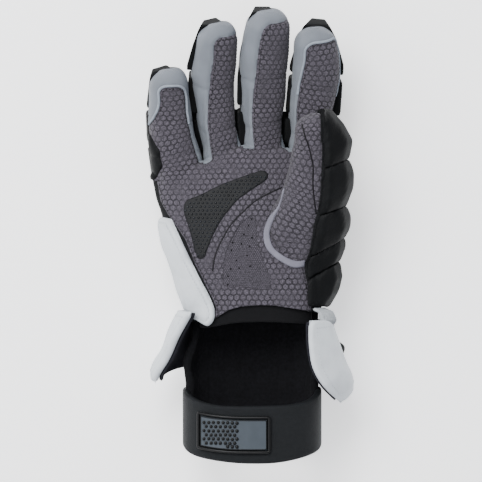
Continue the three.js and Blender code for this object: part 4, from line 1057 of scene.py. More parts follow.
@cache
def stitch_tree():
    """Threads laid end to end along lines, each a flattened bead."""
    tree, given = new_tree("Stitches along lines", (
        ("Pitch", "NodeSocketFloat", 0.0026),
        ("Length", "NodeSocketFloat", 0.0019),
        ("Width", "NodeSocketFloat", 0.0006),
        ("Thread", "NodeSocketMaterial", None),
    ))
    spaced = spaced_curve(tree, given["Geometry"], given["Pitch"])
    bead = add(tree, "GeometryNodeMeshIcoSphere", {"Radius": 0.5, "Subdivisions": 1})
    soft = add(tree, "GeometryNodeSetShadeSmooth", {0: bead.outputs[0]})
    tangent = add(tree, "GeometryNodeInputTangent")
    along = add(tree, "FunctionNodeAlignRotationToVector", {"Vector": tangent.outputs[0]}, axis="X")
    turn = upright(tree, "Z", "X", along.outputs[0])
    scale = add(tree, "ShaderNodeCombineXYZ",
                {"X": given["Length"], "Y": given["Width"], "Z": given["Width"]})
    laid = add(tree, "GeometryNodeInstanceOnPoints", {
        "Points": spaced, "Instance": soft.outputs[0],
        "Rotation": turn, "Scale": scale.outputs[0],
    })
    close_tree(tree, laid.outputs[0], given["Thread"])
    return tree


@cache
def piping_tree():
    """A round tube along lines, as a seam's piping or a rolled hem."""
    tree, given = new_tree("Piping along lines", (
        ("Radius", "NodeSocketFloat", 0.0008),
        ("Step", "NodeSocketFloat", 0.0014),
        ("Cloth", "NodeSocketMaterial", None),
    ))
    spaced = spaced_curve(tree, given["Geometry"], given["Step"])
    section = add(tree, "GeometryNodeCurvePrimitiveCircle",
                  {"Resolution": 8, "Radius": given["Radius"]})
    tube = add(tree, "GeometryNodeCurveToMesh", {
        "Curve": spaced, "Profile Curve": section.outputs[0], "Fill Caps": True,
    })
    soft = add(tree, "GeometryNodeSetShadeSmooth", {0: tube.outputs[0]})
    close_tree(tree, soft.outputs[0], given["Cloth"])
    return tree


@cache
def dot_tree(sides, rings):
    """A low button on each point: a printed dot, a stud, or a near-black disc whose colour paints
    in the shade inside a punched hole.
    """
    tree, given = new_tree("Buttons on points", (
        ("Radius", "NodeSocketFloat", 0.0007),
        ("Height", "NodeSocketFloat", 0.0004),
        ("Finish", "NodeSocketMaterial", None),
    ))
    if sides == 6:
        soft = add(tree, "GeometryNodeMeshCone", {
            "Vertices": 6, "Radius Top": 0.78, "Radius Bottom": 1.0, "Depth": 1.0,
        }).outputs[0]
    else:
        shape = add(tree, "GeometryNodeMeshUVSphere",
                    {"Segments": sides, "Rings": rings, "Radius": 1.0}).outputs[0]
        soft = add(tree, "GeometryNodeSetShadeSmooth", {0: shape}).outputs[0]
    scale = add(tree, "ShaderNodeCombineXYZ",
                {"X": given["Radius"], "Y": given["Radius"], "Z": given["Height"]})
    laid = add(tree, "GeometryNodeInstanceOnPoints", {
        "Points": given["Geometry"], "Instance": soft,
        "Rotation": upright(tree, "Z"), "Scale": scale.outputs[0],
    })
    close_tree(tree, laid.outputs[0], given["Finish"])
    return tree


def lines_mesh(lines):
    """Mesh of open or closed lines, in the frame, with the surface's normal at each point."""
    points, ups, edges, count = [], [], [], 0
    for line, up in lines:
        closed = np.allclose(line[0], line[-1])
        size = len(line) - 1 if closed else len(line)
        points.append(line[:size])
        ups.append(up[:size])
        edges += [(count + i, count + i + 1) for i in range(size - 1)]
        if closed:
            edges.append((count + size - 1, count))
        count += size
    return marked_mesh(np.vstack(points), np.vstack(ups), edges)


def marked_mesh(points, ups, edges=()):
    """Mesh of bare points with the surface's normal stored at each."""
    mesh = bpy.data.meshes.new("marks")
    mesh.from_pydata(placed(points).tolist(), list(edges), [])
    layer = mesh.attributes.new("up", "FLOAT_VECTOR", "POINT")
    layer.data.foreach_set("vector", np.asarray(ups, np.float32).ravel())
    return mesh


def run_tree(mesh, tree, inputs):
    """Mesh that a geometry node tree makes of marks."""
    thing = bpy.data.objects.new("marks", mesh)
    bpy.context.scene.collection.objects.link(thing)
    modifier = thing.modifiers.new("nodes", "NODES")
    modifier.node_group = tree
    sockets = {item.name: item.identifier for item in tree.interface.items_tree
               if item.in_out == "INPUT"}
    for label, value in inputs.items():
        modifier[sockets[label]] = value
    return evaluated(thing)


def stitched(name, lines, thread, lift=0.1, pitch=None):
    """Stitches along lines on a surface."""
    sizes = bpy.context.scene.glove_sizes
    raised = [(line + up * lift, up) for line, up in lines]
    pitch = pitch or sizes.stitch_pitch
    mesh = run_tree(lines_mesh(raised), stitch_tree(), {
        "Pitch": pitch, "Length": pitch * 0.78, "Width": sizes.thread_width, "Thread": thread,
    })
    return adopt(name, mesh, thread)


def piped(name, lines, radius, cloth, lift=0.0):
    """Piping along lines on a surface, with a radius in millimetres."""
    raised = [(line + up * lift, up) for line, up in lines]
    mesh = run_tree(lines_mesh(raised), piping_tree(),
                    {"Radius": radius * MM, "Step": 1.4 * MM, "Cloth": cloth})
    return adopt(name, mesh, cloth)


def dotted(name, points, ups, radius, height, finish, sides=8, rings=4):
    """Buttons on points of a surface, with sizes in millimetres."""
    mesh = run_tree(marked_mesh(points, ups), dot_tree(sides, rings),
                    {"Radius": radius * MM, "Height": height * MM, "Finish": finish})
    return adopt(name, mesh, finish)


# Materials


def linear(text):
    """An sRGB hex colour as linear red, green, blue and alpha."""
    parts = [int(text[i:i + 2], 16) / 255 for i in (1, 3, 5)]
    return tuple(p / 12.92 if p <= 0.04045 else ((p + 0.055) / 1.055) ** 2.4 for p in parts) + (1,)


def new_material(name, roughness, **sockets):
    """A material with its shader, and the values that are the same all over its surface."""
    material = bpy.data.materials.new(name)
    material.use_nodes = True
    tree = material.node_tree
    tree.nodes.clear()
    shader = add(tree, "ShaderNodeBsdfPrincipled", {"Roughness": roughness})
    for label, value in sockets.items():
        shader.inputs[label.replace("_", " ")].default_value = value
    add(tree, "ShaderNodeOutputMaterial", {"Surface": shader.outputs[0]})
    return material, tree, shader


def blend_colour(tree, factor, low, high):
    """Colour between two, by a factor."""
    node = add(tree, "ShaderNodeMix", {0: factor, 6: low, 7: high}, data_type="RGBA")
    return node.outputs[2]


def maths(tree, operation, a, b=0.0):
    """Result of a calculation on two numbers."""
    return add(tree, "ShaderNodeMath", {0: a, 1: b}, operation=operation).outputs[0]


def bumped(tree, shader, height, distance):
    """Relief of a depth in millimetres."""
    bump = add(tree, "ShaderNodeBump", {"Height": height, "Distance": distance * MM})
    tree.links.new(bump.outputs[0], shader.inputs["Normal"])


def object_noise(tree, size, detail=3.0):
    """Noise with features of a size in millimetres, fixed to the piece."""
    place = add(tree, "ShaderNodeTexCoord").outputs["Object"]
    noise = add(tree, "ShaderNodeTexNoise",
                {"Vector": place, "Scale": 1 / (size * MM), "Detail": detail})
    return noise.outputs[0]


def mapped(tree, value, low, high, smooth=False):
    """A value spread from low..high onto 0..1."""
    node = add(tree, "ShaderNodeMapRange",
               {"Value": value, "From Min": low, "From Max": high},
               interpolation_type="SMOOTHSTEP" if smooth else "LINEAR")
    return node.outputs[0]


def honeycomb(tree, pitch):
    """Distance from the middle of hexagon cells, as a share of the way to their edge."""
    place = add(tree, "ShaderNodeUVMap", uv_map="cloth").outputs[0]
    wobble = add(tree, "ShaderNodeTexNoise", {"Vector": place, "Scale": 0.09, "Detail": 1.0})
    shift = add(tree, "ShaderNodeVectorMath", {0: wobble.outputs[1], "Scale": 1.2},
                operation="SCALE").outputs[0]
    place = add(tree, "ShaderNodeVectorMath", {0: place, 1: shift}, operation="ADD").outputs[0]
    tall = pitch * math.sqrt(3)
    cells = []
    for move in ((0, 0, 0), (pitch / 2, tall / 2, 0)):
        moved = add(tree, "ShaderNodeVectorMath", {0: place, 1: move}, operation="ADD")
        wrapped = add(tree, "ShaderNodeVectorMath",
                      {0: moved.outputs[0], 1: (pitch, tall, 1), 2: (0, 0, 0)}, operation="WRAP")
        centred = add(tree, "ShaderNodeVectorMath",
                      {0: wrapped.outputs[0], 1: (pitch / 2, tall / 2, 0)}, operation="SUBTRACT")
        whole = add(tree, "ShaderNodeVectorMath", {0: centred.outputs[0]}, operation="ABSOLUTE")
        slant = add(tree, "ShaderNodeVectorMath",
                    {0: whole.outputs[0], 1: (0.5, math.sqrt(0.75), 0)}, operation="DOT_PRODUCT")
        straight = add(tree, "ShaderNodeSeparateXYZ", {0: whole.outputs[0]}).outputs[0]
        cells.append(maths(tree, "MAXIMUM", straight, slant.outputs["Value"]))
    nearest = maths(tree, "MINIMUM", cells[0], cells[1])
    return maths(tree, "DIVIDE", nearest, pitch / 2)


def suede(name, colour, groove, pitch, depth):
    """Brushed microfibre suede, embossed with hexagons: matt, with a soft nap that varies."""
    material, tree, shader = new_material(name, 0.95, Sheen_Weight=0.06, Sheen_Roughness=0.6,
                                          Specular_IOR_Level=0.3)
    cell = honeycomb(tree, pitch)
    border = mapped(tree, cell, 0.6, 0.92, smooth=True)
    nap = object_noise(tree, 0.9, 5.0)
    patchy = object_noise(tree, 14, 2.0)
    shade = maths(tree, "MULTIPLY", border, mapped(tree, patchy, 0.1, 0.6))
    worn = blend_colour(tree, mapped(tree, patchy, 0.35, 0.65), colour,
                        tuple(min(1, c * 1.35) for c in colour[:3]) + (1,))
    flecked = blend_colour(tree, mapped(tree, nap, 0.38, 0.66), worn,
                           tuple(c * 0.42 for c in colour[:3]) + (1,))
    base = blend_colour(tree, maths(tree, "MULTIPLY", shade, 0.82), flecked, groove)
    tree.links.new(base, shader.inputs["Base Color"])
    height = maths(tree, "SUBTRACT", maths(tree, "MULTIPLY", nap, 0.35), border)
    bumped(tree, shader, height, depth)
    return material


def knit(name, colour, light, pitch=0.55, roughness=0.72):
    """Warp-knit stretch nylon: a fine rib along the cloth and a faint silky sheen."""
    material, tree, shader = new_material(name, roughness, Sheen_Weight=0.08, Sheen_Roughness=0.4)
    place = add(tree, "ShaderNodeUVMap", uv_map="cloth").outputs[0]
    rib = add(tree, "ShaderNodeTexWave",
              {"Vector": place, "Scale": 1 / pitch / 3.2, "Distortion": 0.6, "Detail": 1.0},
              bands_direction="X")
    course = add(tree, "ShaderNodeTexWave",
                 {"Vector": place, "Scale": 1 / pitch / 2.6, "Distortion": 0.6},
                 bands_direction="Y")
    weave = maths(tree, "MULTIPLY", rib.outputs[1], course.outputs[1])
    patchy = object_noise(tree, 16, 2.0)
    base = blend_colour(tree, mapped(tree, patchy, 0.3, 0.72), colour, light)
    shaded = blend_colour(tree, maths(tree, "MULTIPLY", weave, 0.25), base,
                          tuple(c * 0.7 for c in colour[:3]) + (1,))
    tree.links.new(shaded, shader.inputs["Base Color"])
    bumped(tree, shader, weave, 0.12)
    return material


def leather(name, colour, scuff, grain, depth, roughness):
    """Coated synthetic leather: pebbled grain, a low gloss and rubbed places."""
    material, tree, shader = new_material(name, roughness, Specular_IOR_Level=0.1)
    place = add(tree, "ShaderNodeTexCoord").outputs["Object"]
    cells = add(tree, "ShaderNodeTexVoronoi", {"Vector": place, "Scale": 1 / (grain * MM)},
                feature="SMOOTH_F1")
    pebble = mapped(tree, cells.outputs[0], 0.1, 0.75)
    patchy = object_noise(tree, 11, 4.0)
    base = blend_colour(tree, mapped(tree, patchy, 0.45, 0.8), colour, scuff)
    tree.links.new(base, shader.inputs["Base Color"])
    gloss = maths(tree, "MULTIPLY_ADD", patchy, 0.22)
    gloss.node.inputs[2].default_value = roughness - 0.1
    tree.links.new(gloss, shader.inputs["Roughness"])
    bumped(tree, shader, maths(tree, "ADD", pebble, maths(tree, "MULTIPLY", patchy, 0.6)), depth)
    return material


def woven(name, colour, light, thread, roughness=0.85):
    """Plain woven or brushed cloth: crossing threads and a little fluff."""
    material, tree, shader = new_material(name, roughness, Specular_IOR_Level=0.15)
    place = add(tree, "ShaderNodeTexCoord").outputs["Object"]
    waves = [add(tree, "ShaderNodeTexWave",
                 {"Vector": place, "Scale": 1 / (thread * MM) / 3.2, "Distortion": 1.2},
                 bands_direction=axis).outputs[1] for axis in ("X", "Y")]
    weave = maths(tree, "MULTIPLY", waves[0], waves[1])
    fluff = object_noise(tree, 2.2, 5.0)
    base = blend_colour(tree, mapped(tree, fluff, 0.35, 0.8), colour, light)
    tree.links.new(base, shader.inputs["Base Color"])
    bumped(tree, shader, maths(tree, "ADD", weave, fluff), 0.2)
    return material


def rubber(name, colour, light, roughness, grain=0.6, depth=0.05):
    """Moulded silicone rubber: smooth, with a satin skin and a trace of flow."""
    material, tree, shader = new_material(name, roughness, Specular_IOR_Level=0.2)
    patchy = object_noise(tree, 9, 3.0)
    base = blend_colour(tree, mapped(tree, patchy, 0.35, 0.7), colour, light)
    tree.links.new(base, shader.inputs["Base Color"])
    bumped(tree, shader, object_noise(tree, grain, 2.0), depth)
    return material


@cache
def materials():
    """All the glove's materials by name, made once."""
    colours = bpy.context.scene.glove_colours
    sizes = bpy.context.scene.glove_sizes

    def colour(name, factor=1.0):
        return tuple(min(1.0, c * factor) for c in getattr(colours, name)) + (1,)

    cell = sizes.cell_pitch / MM
    return {
        "suede": suede("Embossed microfibre suede", colour("palm"), colour("groove"), cell, 0.32),
        "vent": suede("Perforated suede", colour("palm", 0.85), colour("groove"), 1.5, 0.12),
        "silver": knit("Stretch nylon knit", colour("gusset"), colour("gusset", 1.25)),
        # The hem's colour, 1.9 to 2.4 times the gusset's, makes it a lighter band and also paints
        # in the highlight along its rolled edge.
        "hem": woven("Rolled nylon hem", colour("gusset", 1.9), colour("gusset", 2.4), 0.5),
        "band": leather("Soft microfibre binding", colour("band"), colour("band", 1.3),
                        0.8, 0.05, 0.7),
        "black": leather("Black synthetic leather", colour("pad"), colour("pad", 1.7),
                         0.9, 0.1, 0.6),
        "moulded": leather("Black moulded foam skin", colour("pad"), colour("pad", 1.5),
                           0.5, 0.06, 0.66),
        "white": leather("White synthetic leather", colour("leather"), colour("leather", 0.86),
                         1.1, 0.06, 0.5),
        # The gore's white cloth is darkened to 0.6 to 0.75 of the leather's colour: painted shade
        # among its gathers.
        "gathered": woven("Gathered white twill", colour("leather", 0.6),
                          colour("leather", 0.75), 0.6),
        "grip": rubber("Printed silicone grip", colour("grip"), colour("grip", 1.5), 0.6),
        # The raised dots are lightened in patches, up to six times the print's colour: painted
        # glints on their glossy tops.
        "dots": rubber("Raised silicone dots", colour("grip"), colour("grip", 6.0), 0.3),
        "backing": woven("Woven polyester backing", colour("backing"), colour("backing", 1.8), 0.7),
        "liner": woven("Brushed tricot lining", colour("liner"), colour("liner", 2.6), 0.9, 0.95),
        "facing": woven("Brushed neoprene facing", colour("liner", 6), colour("liner", 9),
                        0.7, 0.9),
        "neoprene": woven("Laminated neoprene", colour("liner"), colour("liner", 1.6), 0.5, 0.7),
        "strap": woven("Woven elastic webbing", colour("strap"), colour("strap", 1.35), 0.6, 0.62),
        "plate": rubber("Moulded rubber plate", colour("plate"), colour("plate", 1.15), 0.42),
        "rim": rubber("Black moulded rubber", colour("pad", 0.6), colour("pad", 0.9), 0.38),
        "dark_thread": rubber("Bonded nylon thread, black", colour("groove", 0.35),
                              colour("groove", 0.6), 0.55),
        "pale_thread": rubber("Bonded nylon thread, white", colour("leather", 0.9),
                              colour("leather"), 0.5),
        "grey_thread": rubber("Bonded nylon thread, grey", colour("gusset", 0.7),
                              colour("gusset", 0.9), 0.5),
        # Near-black discs, darker than the lining, set where the holes are: painted shade seen
        # inside the holes.
        "hole": rubber("Punched hole", colour("liner", 0.3), colour("liner", 0.4), 0.9),
    }


# Settings that a user may change


def size_property(name, description, default):
    return bpy.props.FloatProperty(
        name=name, description=description, default=default, unit="LENGTH", precision=5)


def colour_property(name, description, default):
    return bpy.props.FloatVectorProperty(
        name=name, description=description, default=linear(default)[:3], subtype="COLOR",
        min=0, max=1)


class GloveSizes(bpy.types.PropertyGroup):
    """Sizes of the details that are laid over the frame."""

    cell_pitch: size_property("Cell pitch", "Distance between two embossed hexagons", 0.0044)
    stitch_pitch: size_property("Stitch pitch", "Length of one stitch with its gap", 0.0026)
    thread_width: size_property("Thread width", "Thickness of the sewing thread", 0.0006)
    swell: size_property("Swell", "How far the foam fills out its cover", 0.0014)
    hole_radius: size_property("Hole radius", "Radius of a punched hole", 0.0006)


class GloveColours(bpy.types.PropertyGroup):
    """Colours of the glove's materials."""

    palm: colour_property("Palm", "Suede of the palm and the fingers", "#47434b")
    groove: colour_property("Groove", "Grooves of the emboss and the dark thread", "#131116")
    gusset: colour_property("Gusset", "Stretch knit between the fingers", "#5f646b")
    band: colour_property("Band", "Binding round the foot of the thumb", "#66656f")
    pad: colour_property("Pads", "Leather over the foam", "#08090a")
    leather: colour_property("Leather", "White leather of the heel and the cuff", "#c3c8cc")
    grip: colour_property("Grip", "Printed grip on the palm", "#07080a")
    backing: colour_property("Backing", "Cloth between the pads", "#0f1011")
    liner: colour_property("Lining", "Lining of the wrist", "#060608")
    strap: colour_property("Strap", "Webbing of the wrist strap", "#111315")
    plate: colour_property("Plate", "Rubber plate on the strap", "#373d43")


# Pieces


class GLOVE_OT_hand_cloth(bpy.types.Operator):
    """Sews the palm, the finger gussets and the backing cloth"""

    bl_idname = "glove.hand_cloth"
    bl_label = "Hand cloth"

    def execute(self, context):
        looks = materials()
        skin = glove_skin().clip("wrist")
        clear = signed_gap(skin.points, tree_of(thumb_skin()))
        skin.values["clear"] = clear
        skin = skin.clip("clear")
        skin.values["vent"] = depth_inside(skin.points, closed_outline(VENT_OUTLINE))
        facing = skin["normal"][:, 2] > 0
        skin.values["vent"] = np.where(facing, skin["vent"], -9.0)
        palm = skin.clip("palm")
        MADE["palm"] = palm
        walled("palm_cloth", palm.clip("vent", -1), CLOTH, looks["suede"], "palm")
        vent = palm.clip("vent")
        walled("palm_vent_panel", vent.moved(np.full(len(vent.points), -VENT_SINK)), CLOTH,
               looks["vent"])
        rest = skin.clip("palm", -1)
        walled("hand_back_cloth", rest.clip("backing"), CLOTH, looks["backing"],
               ("hand_back",) + tuple(f"{limb.name}_back" for limb in LIMBS))
        sides = rest.clip("backing", -1)
        for number, limb in enumerate(LIMBS):
            side = sides
            if number > 0:
                side = side.clip(f"line_{number - 1}")
            if number < len(LIMBS) - 1:
                side = side.clip(f"line_{number}", -1)
            side = side.largest()
            MADE[f"{limb.name}_side"] = side
            walled(f"{limb.name}_gusset_cloth", side, CLOTH, looks["silver"],
                   f"{limb.name}_gusset")
        self.webs(looks["backing"])
        return {"FINISHED"}

    def webs(self, material):
        """Black backing cloth set deep in each crotch to join the backs of neighbouring fingers;
        its black paints in the shade down in the crotch.
        """
        share = np.linspace(0.15, 0.85, 12)[None, :]
        for left, right in zip(LIMBS, LIMBS[1:]):
            root = crotch_at((left.centre[0, 0] + right.centre[0, 0]) / 2)
            y = (root + np.linspace(-8, WEB_HEIGHTS[left.name], 20))[:, None]
            ends = [[np.interp(y, limb.centre[:, 1], column) for column in
                     (limb.centre[:, 0], limb.centre[:, 2] - 0.5 * limb.half[:, 1])]
                    for limb in (left, right)]
            x, z = (a * (1 - share) + b * share for a, b in zip(*ends))
            grid = stacked(x, y, z)
            walled(f"{left.name}_{right.name}_web", sheet_skin(grid), CLOTH, material)


class GLOVE_OT_thumb_cloth(bpy.types.Operator):
    """Sews the two halves of the thumb"""

    bl_idname = "glove.thumb_cloth"
    bl_label = "Thumb cloth"

    def execute(self, context):
        looks = materials()
        free = thumb_skin().clip("free")
        walled("thumb_palm_cloth", free.clip("outer", -1), CLOTH, looks["suede"],
               "thumb_palm")
        walled("thumb_back_cloth", free.clip("outer"), CLOTH, looks["backing"],
               "thumb_back")
        return {"FINISHED"}


class GLOVE_OT_palm_patches(bpy.types.Operator):
    """Lays the grip print, the thumb band, the side guard and the heel panel on the cloth"""

    bl_idname = "glove.palm_patches"
    bl_label = "Palm patches"

    def execute(self, context):
        looks = materials()
        grip = self.patch("palm_grip_print", GRIP_OUTLINE, 0.5, 0.8, looks["grip"], "grip_print",
                          "palm_grip_patch")
        self.dots(grip, looks["dots"])
        self.patch("pinky_side_guard", GUARD_OUTLINE, 2.2, 3.0, looks["black"], "black_pad")
        self.band(looks["band"])
        self.heel(looks["white"])
        return {"FINISHED"}

    def patch(self, name, outline, height, edge, material, slot, node=None):
        """A patch raised over the hand inside an outline drawn on the photograph."""
        skin = glove_skin()
        field = depth_inside(skin.points, closed_outline(outline))
        skin.values["patch"] = np.where(skin["normal"][:, 2] > -0.2, field, -9.0)
        skin = skin.clip("patch").largest()
        (points, faces), cloth = puffed(skin, "patch", height, edge)
        cushion(name, points, faces, material, slot, node, 0.5, cloth)
        return skin

    def dots(self, skin, material):
        """Raised dots in rows over the grip print."""
        low, high = skin.points.min(0), skin.points.max(0)
        tree = tree_of(skin)
        spots, ups = [], []
        for row in range(int((high[1] - low[1]) / (DOT_PITCH * ROW_STEP))):
            y = low[1] + row * DOT_PITCH * ROW_STEP
            for x in np.arange(low[0] + (row % 2) * DOT_PITCH / 2, high[0], DOT_PITCH):
                place, normal = below(tree, x, y)
                if place is None:
                    continue
                spots.append(place)
                ups.append(normal)
        spots, ups = np.array(spots), np.array(ups)
        inside = depth_inside(spots, closed_outline(GRIP_OUTLINE)) > 1.2
        dotted("grip_dots", spots[inside] + ups[inside] * 0.65, ups[inside], DOT_RADIUS,
               DOT_HEIGHT, material)

    def band(self, material):
        """The light band sewn round the foot of the thumb."""
        count = 60
        steps = np.linspace(0, 1, count)
        sides = [np.column_stack([np.interp(steps, np.linspace(0, 1, len(line)), line[:, k])
                                  for k in (0, 1)])
                 for line in (rounded_curve(in_pixels(edge), BAND_REACH / count)
                              for edge in (BAND_OUTER, BAND_INNER))]
        rows = eased(13)
        both = joined_tree()
        grid = np.empty((len(rows), count, 3))
        for i, share in enumerate(rows):
            for j in range(count):
                x, y = sides[0][j] * (1 - share) + sides[1][j] * share
                grid[i, j] = (x, y, below(both, x, y)[0].z)
        for _ in range(6):
            grid[:, 1:-1, 2] = (grid[:, :-2, 2] + 2 * grid[:, 1:-1, 2] + grid[:, 2:, 2]) / 4
            grid[1:-1, :, 2] = (grid[:-2, :, 2] + 2 * grid[1:-1, :, 2] + grid[2:, :, 2]) / 4
        grid[..., 2] += 0.5
        padded_leaf(grid, 2.2, 1.6, "thumb_foot_band", material, "silver_gusset", "thumb_band",
                    0.6)

    def heel(self, material):
        """The white padded panel over the heel of the hand."""
        skin = glove_skin()
        field = depth_inside(skin.points, closed_outline(HEEL_OUTLINE, 1.0))
        low = skin.points[:, 2] - (SPLIT_HEIGHT - 0.28 * HAND_DEPTH)
        skin.values["heel"] = np.minimum(field, low)
        skin = skin.clip("heel").largest()
        MADE["heel"] = skin
        (points, faces), cloth = puffed(skin, "heel", HEEL_FOAM, 5.0, power=2.2)
        half = len(points) // 2
        channel = np.exp(-((skin["heel"] - 3.2) / 0.7) ** 2) * 0.8
        channel = channel + folds(skin.points, 20, 0.5, 21)
        points[:half] -= skin["normal"] * channel[:, None]
        cushion("heel_leather", points, faces, material, "white_leather", "heel_panel", 0.7,
                cloth)


def joined_tree():
    """Search tree over the hand and the thumb together."""
    hand, thumb = glove_skin(), thumb_skin()
    points = np.vstack([hand.points, thumb.points])
    faces = np.vstack([hand.faces, thumb.faces + len(hand.points)])
    return BVHTree.FromPolygons(points.tolist(), faces.tolist())


def cad_copy(node):
    """Merged copy of a node's mesh, as points in glove millimetres and triangles."""
    work = bmesh.new()
    work.from_mesh(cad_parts[node].data)
    bmesh.ops.remove_doubles(work, verts=work.verts, dist=1e-6)
    mesh = bpy.data.meshes.new("copy")
    work.to_mesh(mesh)
    work.free()
    points, faces = arrays(mesh)
    return points / MM - ORIGIN, faces


def convex(points):
    """Closed skin stretched tight round points."""
    work = bmesh.new()
    for point in points:
        work.verts.new(point)
    found = bmesh.ops.convex_hull(work, input=work.verts)
    spare = {item for key in ("geom_interior", "geom_unused") for item in found[key]}
    bmesh.ops.delete(work, geom=[v for v in spare if isinstance(v, bmesh.types.BMVert)],
                     context="VERTS")
    bmesh.ops.recalc_face_normals(work, faces=work.faces)
    mesh = bpy.data.meshes.new("hull")
    work.to_mesh(mesh)
    work.free()
    return arrays(mesh)


ROLL_NAMES = tuple(f"{row[0]}_roll_{part}" for row in FINGERS for part in ("tip", "mid", "base"))
BACK_PADS = tuple(f"{row}_pad_{column}" for row in ("upper_back", "lower_back")
                  for column in ("pinky", "middle", "thumb"))
KNUCKLE_PADS = tuple(f"knuckle_pad_{name}" for name in ("pinky", "ring", "middle", "index"))
THUMB_PADS = tuple(f"thumb_pad_{part}" for part in ("wrist", "heel", "base", "mid", "tip"))
SOFT_PADS = BACK_PADS + KNUCKLE_PADS + THUMB_PADS + ("cuff_back_pad",)


class GLOVE_OT_finger_rolls(bpy.types.Operator):
    """Makes the moulded foam rolls behind the fingers"""

    bl_idname = "glove.finger_rolls"
    bl_label = "Finger rolls"

    def execute(self, context):
        material = materials()["moulded"]
        for name in ROLL_NAMES:
            finger, part = name.split("_roll_")
            points, faces = remeshed([convex(cad_copy(name)[0])], "roll")
            points = relaxed(points, faces, 8, 0.6, -0.3)
            points = self.spread(points, finger, part)
            if part == "tip":
                top = points[:, 1].max()
                far = TIP_REACH.get(finger, 0) * step_between(points[:, 1], top - 20, top)
                points[:, 1] += far
                points = cut_back(points, in_pixels(CAP_FACETS[finger]))
            points = relaxed(points, faces, 4, 0.5, -0.3)
            cushion(f"{name}_foam", points, faces, material, "black_pad", name, 0.8)
        return {"FINISHED"}

    def spread(self, points, finger, part):
        """Points of a roll moved out on the side where the real roll shows beside its finger."""
        if finger not in ROLL_SPREAD:
            return points
        side, *factors = ROLL_SPREAD[finger]
        factor = factors[("tip", "mid", "base").index(part)]
        limb = next(limb for limb in LIMBS if limb.name == finger)
        centre = np.interp(points[:, 1], limb.centre[:, 1], limb.centre[:, 0])
        out = side * (points[:, 0] - centre)
        out = out * (1 + (factor - 1) * step_between(out, 2, 12))
        return np.column_stack([centre + side * out, points[:, 1], points[:, 2]])


def cut_back(points, facets):
    """Points pressed flat onto the facets of an outline on the page, clockwise."""
    points = points.copy()
    for start, end in zip(facets, facets[1:]):
        ahead = unit(end - start)
        out = np.array([-ahead[1], ahead[0]])
        past = np.maximum((points[:, :2] - start) @ out, 0)
        points[:, :2] -= past[:, None] * out
    return points


def inflated(parts, cap):
    """Points of closed parts after air pressure has filled out their covers, capped at a swell."""
    counts = [len(points) for points, _ in parts]
    offsets = np.concatenate([[0], np.cumsum(counts)])
    points = np.vstack([p for p, _ in parts])
    faces = np.vstack([f + offset for (_, f), offset in zip(parts, offsets)])
    thing = raw_object("covers", points * MM, faces)
    cloth = thing.modifiers.new("cover", "CLOTH")
    cloth.settings.quality = 4
    cloth.settings.mass = 0.3
    cloth.settings.tension_stiffness = 20
    cloth.settings.compression_stiffness = 20
    cloth.settings.bending_stiffness = 0.8
    cloth.settings.use_pressure = True
    cloth.settings.uniform_pressure_force = 4
    cloth.settings.effector_weights.gravity = 0
    cloth.collision_settings.use_self_collision = False
    cloth.point_cache.frame_start = 1
    cloth.point_cache.frame_end = 20
    scene = bpy.context.scene
    for number in range(1, 21):
        scene.frame_set(number)
    moved = arrays(evaluated(thing))[0] / MM
    scene.frame_set(1)
    step = moved - points
    length = np.linalg.norm(step, axis=1, keepdims=True)
    step = step / np.maximum(length, 1e-6) * cap * np.tanh(length / cap)
    return [points[a:b] + step[a:b] for a, b in zip(offsets, offsets[1:])]


class GLOVE_OT_foam_pads(bpy.types.Operator):
    """Fills out the leather pads of the back, the knuckles, the thumb and the cuff"""

    bl_idname = "glove.foam_pads"
    bl_label = "Foam pads"

    def execute(self, context):
        material = materials()["black"]
        swell = context.scene.glove_sizes.swell / MM
        parts = []
        for name in SOFT_PADS:
            points, faces = remeshed([cad_copy(name)], "pad")
            points = relaxed(points, faces, 6, 0.5, -0.3)
            points = points - normals_of(points, faces) * swell * 0.3
            if name in THUMB_PADS:
                points[:, 1] += THUMB_PAD_GROWTH * normals_of(points, faces)[:, 1]
            parts.append((points, faces))
        filled = inflated(parts, swell)
        parts = [(points, faces) for points, (_, faces) in zip(filled, parts)]
        for name, (points, faces) in zip(SOFT_PADS, parts):
            points = points + self.quilt(name, points, faces)
            points[:, 2] = np.maximum(points[:, 2], FLOOR_GAP)
            piece = finished(f"{name}_leather", points, faces, material, name)
            smooth = piece.modifiers.new("smooth", "SUBSURF")
            smooth.levels = smooth.render_levels = 1
        return {"FINISHED"}

    def quilt(self, name, points, faces):
        """Sewn channel round the outer face of a pad, and small puckers along it."""
        normal = normals_of(points, faces)
        low, high = points.min(0), points.max(0)
        if name.startswith("thumb"):
            inner = points[:, 0] - low[0]
            depth = -0.5 * np.exp(-((inner - 7) / 1.6) ** 2) * (normal[:, 2] > 0.2)
            soft = folds(points, 15, 0.25, 11)
            return normal * (depth + soft)[:, None]
        edge = np.minimum(points[:, :2] - low[:2], high[:2] - points[:, :2]).min(1)
        depth = -0.7 * np.exp(-((edge - 6) / 1.3) ** 2) * (normal[:, 2] < -0.3)
        return normal * (depth + folds(points, 18, 0.2, 12))[:, None]


# The cuff


def loop_points(angle, y, inset, widen=0.0):
    """Points on the wrist loop."""
    across, up = oval(STRAP_SPAN / 2 - inset + widen, STRAP_DEPTH / 2 - inset, angle)
    return stacked(LOOP_X + across, y, LOOP_FLOOR + STRAP_DEPTH / 2 + up)


